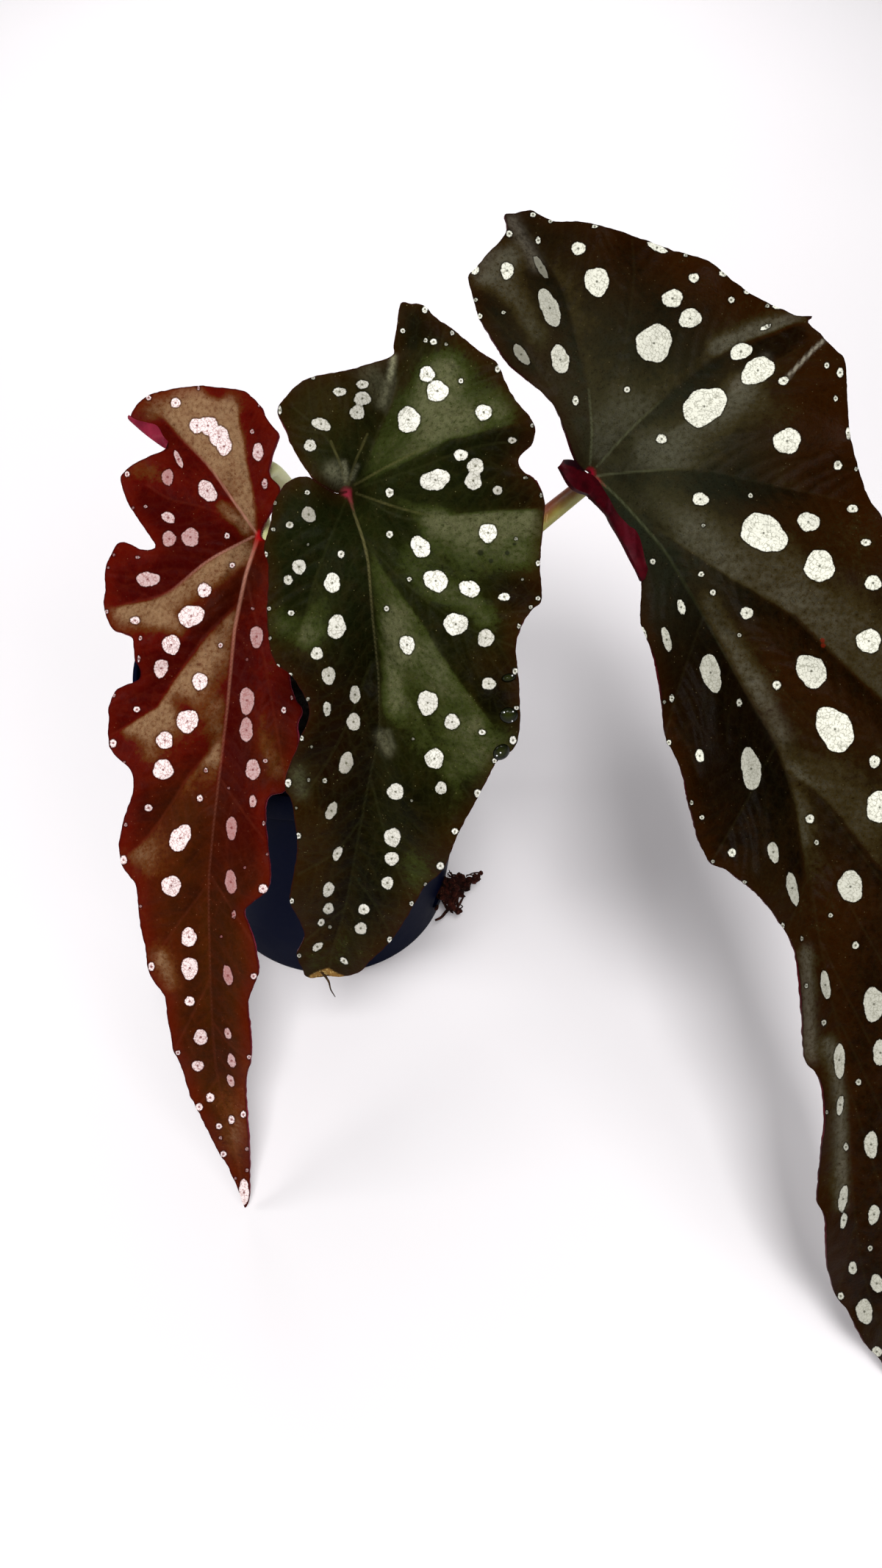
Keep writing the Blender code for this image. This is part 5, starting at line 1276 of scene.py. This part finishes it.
def pot_material():
    """Satin injection-moulded plastic with faint dust and rubbed streaks."""
    look = Look("moulded plastic")
    dust = look.noise(6 * MM, 6, 0.7)
    streaks = look.noise(2 * MM, 4, 0.6, (1, 1, 0.08))
    ground = look.over("01051a", "070e26", dust, 0.5, 0.8, 0, 0.3)
    look.set("Base Color", look.over(ground, "060c22", streaks, 0.55, 0.8, 0, 0.2))
    look.set("Roughness", look.plus_scaled(0.36, dust, 0.2))
    look.set("Specular IOR Level", 0.015)
    look.bump(look.noise(0.35 * MM, 2, 0.5), 0.03 * MM, 0.5)
    return look.material


def peat_material(name, dark, light, fleck):
    """Dull and crumbly, in two broad tones with fine flecks."""
    look = Look(name)
    broad, fine = look.noise(4 * MM, 6, 0.7), look.noise(0.6 * MM, 5, 0.75)
    ground = look.over(dark, light, broad, 0.35, 0.65)
    look.set("Base Color", look.over(ground, fleck, fine, 0.58, 0.7, 0, 0.7))
    look.set("Roughness", 0.95)
    look.set("Specular IOR Level", 0.1)
    look.bump(fine, 0.6 * MM, 1.0)
    return look.material


def arc(radius, height, size, turns):
    """Points round a corner whose middle is at this radius and height."""
    return [(radius + size * math.cos(turn), height + size * math.sin(turn)) for turn in np.radians(turns)]


def pot_profile():
    """The pot's half section, from the middle of its inside round the lip to the middle of its foot."""
    lip = WALL / 2
    profile = [(0, FLOOR_TOP), (BASE_RADIUS - WALL - 1 * MM, FLOOR_TOP), (BASE_RADIUS - WALL, FLOOR_TOP + 1 * MM)]
    profile += [(SHOULDER_RADIUS - WALL, BAND_LOW + 0.6 * MM), (RIM_RADIUS - WALL, BAND_LOW + 1.8 * MM)]
    profile += arc(RIM_RADIUS - lip, POT_HEIGHT - lip, lip, np.linspace(180, 0, 9))
    profile += [(RIM_RADIUS, BAND_LOW + 0.5 * MM), (RIM_RADIUS - 0.15 * MM, BAND_LOW + 0.15 * MM)]
    profile += [(RIM_RADIUS - 0.5 * MM, BAND_LOW), (SHOULDER_RADIUS + 0.4 * MM, BAND_LOW)]
    profile += [(SHOULDER_RADIUS, WALL_TOP), (BASE_RADIUS + 0.05 * MM, 1.8 * MM)]
    profile += arc(BASE_RADIUS - FOOT_CORNER, FOOT_CORNER, FOOT_CORNER, np.linspace(0, -90, 5))
    return profile + [(0, 0)]


def wall_radius(height):
    """The outer radius of the pot's plain wall at a height."""
    return BASE_RADIUS + (SHOULDER_RADIUS - BASE_RADIUS) * (height - WALL_FOOT) / (WALL_TOP - WALL_FOOT)


def turned(name, profile):
    """A half section turned round the pot's axis."""
    shape = bmesh.new()
    points = [shape.verts.new((radius, 0, height)) for radius, height in profile]
    for first, second in zip(points, points[1:]):
        shape.edges.new((first, second))
    obj = piece_from(shape, name)
    screw = obj.modifiers.new("turn", "SCREW")
    screw.angle = 2 * math.pi
    screw.steps = screw.render_steps = POT_SIDES
    screw.use_merge_vertices = True
    screw.merge_threshold = 1e-6
    return obj


def applied(obj):
    """Bakes an object's modifiers into its mesh."""
    bpy.context.view_layer.update()
    graph = bpy.context.evaluated_depsgraph_get()
    mesh = bpy.data.meshes.new_from_object(obj.evaluated_get(graph))
    obj.modifiers.clear()
    obj.data = mesh


def make_pot():
    """The pot, turned from its section, with its drain holes cut."""
    pot = turned("nursery_pot", pot_profile()[::-1])
    cutters = []
    for number in range(DRAIN_HOLES):
        angle = ROOT_HOLE_ANGLE + 2 * math.pi * number / DRAIN_HOLES
        out = Vector((math.cos(angle), math.sin(angle), 0))
        shape = bmesh.new()
        bmesh.ops.create_cone(shape, cap_ends=True, segments=32, radius1=DRAIN_RADIUS, radius2=DRAIN_RADIUS,
                              depth=10 * MM)
        cutter = piece_from(shape, f"drain_cutter_{number}")
        cutter.location = out * wall_radius(DRAIN_HEIGHT) + Vector((0, 0, DRAIN_HEIGHT))
        cutter.rotation_euler = out.to_track_quat("Z", "Y").to_euler()
        cut = pot.modifiers.new("drain", "BOOLEAN")
        cut.operation = "DIFFERENCE"
        cut.object = cutter
        cutters.append(cutter)
    applied(pot)
    for cutter in cutters:
        bpy.data.objects.remove(cutter)
    pot.data.materials.clear()
    pot.data.materials.append(pot_material())
    pot.data.shade_smooth()
    pot.data.set_sharp_from_angle(angle=math.radians(28))
    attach(pot, "root")
    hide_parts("pot")


def soil_height(place, share):
    """The peat's height at a place, and at this share of the way out to its edge."""
    bump = noise.noise(place / (7 * MM)) * 1.6 + noise.noise(place / (2.2 * MM)) * 0.9
    bump += abs(noise.noise(place / (0.9 * MM))) * 0.7
    bump *= min(1, 3 * (1 - share))
    sink = 1.2 * max(0, 1 - (place - Vector((*CANE_FOOT, 0))).length / (9 * MM))
    return SOIL_TOP + (bump - 0.8 - sink) * MM - SOIL_EDGE_DROP * share ** 4


def make_soil():
    """Peat with a crumbly top, as wide as the pot's inside."""
    low = BASE_RADIUS - WALL - GAP - SOIL_INSET
    high = wall_radius(SOIL_TOP - SOIL_EDGE_DROP) - WALL - GAP - SOIL_INSET
    shape = bmesh.new()
    places = [(0, 0)] + [(ring, side) for ring in range(1, SOIL_RINGS + 1) for side in range(SOIL_SIDES)]
    for ring, side in places:
        turn = 2 * math.pi * (side + 0.5 * (ring % 2)) / SOIL_SIDES
        radius = high * ring / SOIL_RINGS
        place = Vector((radius * math.cos(turn), radius * math.sin(turn), 0))
        place.z = soil_height(place, ring / SOIL_RINGS)
        shape.verts.new(place)
    shape.verts.ensure_lookup_table()
    top = list(shape.verts)

    def at(ring, side):
        return top[0] if ring == 0 else top[1 + (ring - 1) * SOIL_SIDES + side % SOIL_SIDES]

    for ring in range(SOIL_RINGS):
        for side in range(SOIL_SIDES):
            shape.faces.new([at(ring, side), at(ring + 1, side), at(ring + 1, side + 1)])
            if ring:
                shape.faces.new([at(ring, side), at(ring + 1, side + 1), at(ring, side + 1)])
    turns = [2 * math.pi * side / SOIL_SIDES for side in range(SOIL_SIDES)]
    foot = [shape.verts.new((low * math.cos(turn), low * math.sin(turn), FLOOR_TOP + GAP)) for turn in turns]
    for side in range(SOIL_SIDES):
        following = (side + 1) % SOIL_SIDES
        shape.faces.new([at(SOIL_RINGS, side), foot[side], foot[following], at(SOIL_RINGS, following)])
    shape.faces.new(foot[::-1])
    bmesh.ops.recalc_face_normals(shape, faces=list(shape.faces))
    # The peat's paints are darkened to near black as painted shade, for soil that lies in shade under the leaves
    peat = piece_from(shape, "peat", peat_material("peat", "060302", "0f0905", "1e150d"), smooth=True)
    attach(peat, "root")
    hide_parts("soil")


def crumb(shape, place, size, seed):
    """One uneven lump of peat, bark or root soil."""
    made = bmesh.ops.create_icosphere(shape, subdivisions=2, radius=1)
    turn = Matrix.Rotation(seed * 1.7, 3, Vector((math.sin(seed), math.cos(seed * 2.1), 0.6)).normalized())
    for vert in made["verts"]:
        rough = 1 + 0.35 * noise.noise(vert.co * 1.6 + Vector((seed, 0, 0)))
        vert.co = turn @ Vector([c * s for c, s in zip(vert.co * rough, size)]) + place


def make_crumbs():
    """Loose crumbs and short bark chips that lie on the peat."""
    draws = np.random.default_rng(CRUMB_SEED)
    shape = bmesh.new()
    for number in range(CRUMBS):
        radius = CRUMB_REACH * math.sqrt(draws.uniform(0.01, 1))
        turn = draws.uniform(0, 2 * math.pi)
        place = Vector((radius * math.cos(turn), radius * math.sin(turn), 0))
        if (place - Vector((*CANE_FOOT, 0))).length < 7 * MM:
            continue
        place.z = SOIL_TOP - 0.6 * MM - SOIL_EDGE_DROP * (radius / (41 * MM)) ** 4
        size = np.array((draws.uniform(0.6, 2.2), draws.uniform(0.5, 1.3), draws.uniform(0.4, 0.9))) * MM
        crumb(shape, place, size, number * 0.37)
    # Like the peat's, these paints are darkened as painted shade
    crumbs = piece_from(shape, "peat_crumbs", peat_material("bark", "0b0603", "170f09", "281d12"), smooth=True)
    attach(crumbs, "root")


def tube(name, routes, resolution):
    """Round strands as one curve piece. Each route is its places and its radii, spread evenly along it."""
    curve = bpy.data.curves.new(name, "CURVE")
    curve.dimensions = "3D"
    curve.bevel_depth = 1
    curve.bevel_resolution = resolution
    curve.use_fill_caps = True
    for path, radii in routes:
        spline = curve.splines.new("POLY")
        spline.points.add(len(path) - 1)
        widths = np.interp(np.linspace(0, 1, len(path)), np.linspace(0, 1, len(radii)), radii)
        for point, place, width in zip(spline.points, path, widths):
            point.co = (*place, 1)
            point.radius = width
        spline.use_smooth = True
    return add_piece(name, curve)


def cane_path(spacing):
    """The cane's axis, from its foot in the peat to its top."""
    foot = np.array((*CANE_FOOT, SOIL_TOP - STEM_HOLE_DEPTH + GAP))
    return curve_through([foot, foot + np.array((0, 0, STEM_HOLE_DEPTH + 6 * MM)),
                          (CANE_FOOT[0] + 0.6 * MM, CANE_FOOT[1] + 0.6 * MM, 112 * MM),
                          (CANE_FOOT[0] + 1.6 * MM, CANE_FOOT[1] + 1.4 * MM, CANE_TOP)], spacing)


def cane_radius(height):
    """The cane's radius at a height, with its taper and the swelling at each node."""
    swell = sum(math.exp(-((height - node) / (2.2 * MM)) ** 2) for node in CANE_NODES)
    ring = sum(math.exp(-((height - node - 1.6 * MM) / (0.35 * MM)) ** 2) for node in CANE_NODES)
    taper = max(0, height - SOIL_TOP) / (CANE_TOP - SOIL_TOP)
    return CANE_RADIUS - CANE_TAPER * taper + NODE_SWELL * swell - NODE_RING * ring


def make_cane():
    """The main stem, with node rings and a rounded top."""
    path = cane_path(0.5 * MM)
    radii = [cane_radius(place[2]) for place in path]
    for number in range(8):
        radii[-1 - number] *= math.sin(math.radians(12 + number * 11))
    cane = tube("main_cane", [(path, radii)], 10)
    cane.data.materials.append(stem_material("cane", "5a4a24", "6e6a38", "b0a878"))
    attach(cane, "root")
    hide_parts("cane")


def cane_axis(height):
    """The place on the cane's axis at a height."""
    path = cane_path(2 * MM)
    return np.array([np.interp(height, path[:, 2], path[:, axis]) for axis in range(3)])


def under_leaf(leaf, point, depth):
    """A place under the blade, straight in from a picture point on its face."""
    return on_leaf(leaf, np.array([point], float))[0] - leaf_frame(leaf)[3] * depth


def petiole_path(leaf, height, angle, free, tucked, spacing):
    """A stalk from its node on the cane to the back of its leaf's sinus."""
    out = np.array((math.cos(math.radians(angle)), math.sin(math.radians(angle)), 0))
    start = cane_axis(height) + out * (cane_radius(height) - STALK_SUNK)
    places = [start, start + out * STALK_START * MM + np.array((0, 0, 1 * MM))]
    places += [np.array(place) * MM for place in free]
    places += [under_leaf(leaf, point, depth * MM) for point, depth in tucked]
    end = under_leaf(leaf, leaf["sinus"], leaf["stalk_under"]) + leaf_frame(leaf)[2] * STALK_OVERLAP
    return curve_through(places + [end], spacing)


# Each stalk's node, its leaf, its place and direction on the cane, the places in mm that it passes on its way, the
# picture points (with a depth in mm) that it keeps to behind its blade, and its skin's name and three paints
STALKS = (
    # The pale stalk's paints are its own cream, lightened towards white as painted light where it lies in the left
    # leaf's shade
    ("petiole_left", LEFT_LEAF, CANE_NODES[1], 112, [(-1.6, 17.5, 121), (-4, 18, 131.5)],
     [((350, 640), 7.8), ((340, 657), 5.6), ((341, 681), 4.7), ((347, 706), 3.9)],
     ("pale stalk", "ccce92", "dcdfb0", "f0f0d0")),
    ("petiole_center", CENTER_LEAF, CANE_NODES[2], -85, [(6, -10, 131), (10, -19, 150)],
     [], ("brown stalk", "6a4020", "8a8a3a", "b8a878")),
    ("petiole_right", RIGHT_LEAF, CANE_NODES[0], -8, [(15, 3, 99.5), (27, -1, 112), (40, -7, 129), (52, -11, 146)],
     [], ("red stalk", "6e3414", "8e8a3c", "b89868")),
)


def make_petioles():
    """The three stalks, each from its node on the cane to the back of its leaf."""
    for name, leaf, height, angle, free, tucked, paints in STALKS:
        path = petiole_path(leaf, height, angle, free, tucked, 1 * MM)
        stalk = tube(name.replace("petiole", "stalk"), [(path, STALK_RADII)], 8)
        stalk.data.materials.append(stem_material(*paints))
        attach(stalk, "root")
        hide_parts(name)


# Lumps of the root clump (picture point, reach), and its two loose roots: their picture points, each with how far
# it lies behind the clump's middle in mm, and their radii in mm
ROOT_LUMPS = (
    (604, 1197, 4), (608, 1208, 5), (618, 1203, 9), (623, 1213, 8), (607, 1222, 4), (616, 1234, 5), (623, 1238, 4),
    (632, 1206, 6), (641, 1199, 5), (648, 1193, 4), (654, 1187, 2.5), (602, 1188, 3), (628, 1195, 4),
)
LOOSE_ROOTS = (
    ([(614, 1232, 0), (607, 1240, -1), (600, 1248, -2), (592, 1252, -2.5)], (0.6, 0.5, 0.35)),
    ([(598, 1190, 1), (599, 1206, 0), (602, 1222, 0), (608, 1236, 0)], (0.5, 0.5, 0.4)),
)


def make_roots():
    """Roots and peat that have pushed out of one drain hole."""
    out = Vector((math.cos(ROOT_HOLE_ANGLE), math.sin(ROOT_HOLE_ANGLE), 0))
    middle = np.array(out * (wall_radius(DRAIN_HEIGHT) + ROOT_OUT) + Vector((0, 0, DRAIN_HEIGHT)))
    draws = np.random.default_rng(ROOT_SEED)

    def at(x, y, away=0.0):
        line = sight_lines(np.array([(x, y)], float))[0]
        return EYE + line * ((middle - EYE).dot(FORWARD) + away) / line.dot(FORWARD)

    shape = bmesh.new()
    seeds = [(x, y, reach) for x, y, reach in ROOT_LUMPS for _ in range(round(reach * 2.2))]
    for number, (x, y, reach) in enumerate(seeds):
        across, down, away = draws.normal(0, 0.42, 3) * reach
        place = at(x + across, y + down, away * 0.28 * MM)
        crumb(shape, Vector(place), np.array(draws.uniform(0.06, 0.22, 3)) * (reach + 2) * MM * 0.8, number * 0.61)
    hole = middle - np.array(out) * ROOT_OUT
    for number in range(HOLE_CRUMBS):
        place = hole + (middle - hole) * draws.uniform(-0.3, 1) + draws.normal(0, 1.3, 3) * MM
        crumb(shape, Vector(place), np.array(draws.uniform(0.5, 1.5, 3)) * MM, number * 0.37)
    lump = piece_from(shape, "root_soil", peat_material("root soil", "120604", "441c14", "a0684a"), smooth=True)

    routes = []
    for number in range(ROOT_STRANDS):
        start = at(*ROOT_LUMPS[number % len(ROOT_LUMPS)][:2])
        end = at(*(np.array(ROOT_LUMPS[(number * 5 + 3) % len(ROOT_LUMPS)][:2]) + draws.normal(0, 6, 2)),
                 draws.normal(0, 1.5) * MM)
        end = start + (end - start) * min(1, STRAND_LENGTH / np.linalg.norm(end - start))
        bows = [start + (end - start) * share + draws.uniform(-1.1, 1.1, 3) * MM for share in (0.35, 0.7)]
        thick = draws.uniform(0.2, 0.45) * MM
        routes.append((curve_through([start, *bows, end], STRAND_STEP), (thick, thick * 0.8, thick * 0.4)))
    for places, radii in LOOSE_ROOTS:
        path = curve_through([at(x, y, away * MM) for x, y, away in places], STRAND_STEP)
        routes.append((path, [radius * MM for radius in radii]))
    strands = tube("root_strands", routes, 2)
    strands.data.materials.append(peat_material("root skin", "140806", "3c1a12", "8c5a42"))
    for piece in (lump, strands):
        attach(piece, "root")
        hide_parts("root_clump")


def water_material():
    """Still water on a dark leaf, with its look painted: shade nearly black at its rim, the leaf's green inside as
    seen through it, and painted glints; its skin is mirror-smooth.
    """
    look = Look("water")
    ring = look.attribute("ring")
    # Painted shade, nearly black, at the rim, over the leaf's green painted inside
    skin = look.over(look.over("20240a", "14170a", ring, 0.2, 0.75), "020200", ring, 0.72, 0.95)
    # Painted glints: small highlights on the drop
    look.set("Base Color", look.over(skin, "f2f4e6", look.attribute("glint"), 0.6, 1.4, 1, 0))
    look.set("Roughness", 0.1)
    look.set("Specular IOR Level", 0.08)
    return look.material


# Water drops on the middle leaf, in picture points: middle, width, height, lean in radians and painted glints
DROPS = (
    (692, 973, 26, 23, 0, [(686, 969), (698, 968), (697, 981)]),
    (682, 1023, 26, 20, 0.7, [(676, 1028), (681, 1024), (672, 1034)]),
    (692, 922, 20, 12, 0.2, [(697, 919)]),
)
THREAD = ((438, 1322), (447, 1335), (450, 1346), (456, 1356))


def make_drops():
    """Water drops on the middle leaf near its right edge."""
    shape = bmesh.new()
    layers = [shape.verts.layers.float.new(name) for name in ("ring", "glint")]
    shares = np.sin(np.linspace(0, math.pi / 2, DROP_RINGS + 1))[1:]
    share = np.concatenate(([0], np.repeat(shares, DROP_SIDES)))
    turn = np.concatenate(([0], np.tile(np.arange(DROP_SIDES) * 2 * math.pi / DROP_SIDES, DROP_RINGS)))
    for x, y, wide, tall, lean, glints in DROPS:
        across, down = wide / 2 * share * np.cos(turn), tall / 2 * share * np.sin(turn)
        flat = np.stack([x + across * math.cos(lean) + down * math.sin(lean),
                         y - across * math.sin(lean) + down * math.cos(lean)], 1)
        glint = np.min([np.hypot(*(flat - place).T) for place in np.array(glints, float)], axis=0)
        for height in (DROP_HEIGHT, 0):
            lift = height * np.sqrt(1 - share ** 2) - DROP_SUNK
            verts = [shape.verts.new(place) for place in on_leaf(CENTER_LEAF, flat, lift)]
            for vert, *values in zip(verts, share, glint):
                for layer, value in zip(layers, values):
                    vert[layer] = value
            for side in range(DROP_SIDES):
                after = (side + 1) % DROP_SIDES
                shape.faces.new([verts[0], verts[1 + side], verts[1 + after]])
                for first in range(1, 1 + (DROP_RINGS - 1) * DROP_SIDES, DROP_SIDES):
                    corners = (first + side, first + DROP_SIDES + side, first + DROP_SIDES + after, first + after)
                    shape.faces.new([verts[corner] for corner in corners])
    bmesh.ops.remove_doubles(shape, verts=list(shape.verts), dist=0.001 * MM)
    bmesh.ops.recalc_face_normals(shape, faces=list(shape.faces))
    drops = piece_from(shape, "water_drops", water_material(), smooth=True)
    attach(drops, "root")


def make_thread():
    """A dry thread that hangs from the middle leaf's broken tip."""
    places = on_leaf(CENTER_LEAF, np.array(THREAD, float))
    thread = tube("tip_thread", [(curve_through(places, 0.4 * MM), (0.35 * MM, 0.2 * MM, 0.1 * MM))], 2)
    thread.data.materials.append(peat_material("dry thread", "2a1c10", "4a3418", "6a5430"))
    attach(thread, "root")


def floor_material():
    look = Look("studio floor")
    look.set("Base Color", look.over(*FLOOR_PAINTS, look.noise(0.4, 2, 0.5), 0.3, 0.7))
    look.set("Roughness", 0.85)
    look.set("Specular IOR Level", 0.1)
    return look.material


def make_floor():
    """The studio floor, which isn't part of the plant."""
    shape = bmesh.new()
    bmesh.ops.create_grid(shape, x_segments=2, y_segments=2, size=FLOOR_REACH)
    mesh = mesh_from(shape, "floor", floor_material())
    add_piece("floor", mesh)


def make_light():
    """A dim sky, and lamps that each look at a point of the plant or the floor."""
    world = bpy.data.worlds.new("studio")
    world.use_nodes = True
    sky = world.node_tree.nodes["Background"]
    sky.inputs["Color"].default_value = WORLD_PAINT
    sky.inputs["Strength"].default_value = WORLD_STRENGTH
    bpy.context.scene.world = world
    for name, place, target, size, power in LAMPS:
        data = bpy.data.lights.new(name, "AREA")
        data.shape = "SQUARE"
        data.size = size
        data.energy = power
        light = add_piece(name, data)
        light.location = place
        light.rotation_euler = (Vector(target) - Vector(place)).to_track_quat("-Z", "Y").to_euler()
    bpy.context.scene.view_settings.view_transform = "Standard"


def make_camera():
    """The camera at the eye, with a pinhole lens."""
    data = bpy.data.cameras.new("camera")
    data.sensor_width = 36
    data.lens = FOCAL / max(PICTURE) * data.sensor_width
    data.clip_start = 0.01
    camera = add_piece("camera", data)
    turn = Matrix((RIGHT, UP, -FORWARD)).transposed()
    camera.matrix_world = Matrix.Translation(Vector(EYE)) @ turn.to_4x4()
    bpy.context.scene.camera = camera


make_camera()
make_light()
make_floor()
make_pot()
make_soil()
make_crumbs()
make_cane()
make_petioles()
make_roots()
for number, (leaf, slot) in enumerate(((LEFT_LEAF, "leaf_red"), (CENTER_LEAF, "leaf_green"),
                                       (RIGHT_LEAF, "leaf_dark"))):
    tones = {part: values[number] for part, values in TONES.items()}
    upper = upper_material(leaf["name"] + "_upper", tones)
    make_leaf(leaf, (upper, lower_material(leaf["name"] + "_lower", tones)))
make_drops()
make_thread()
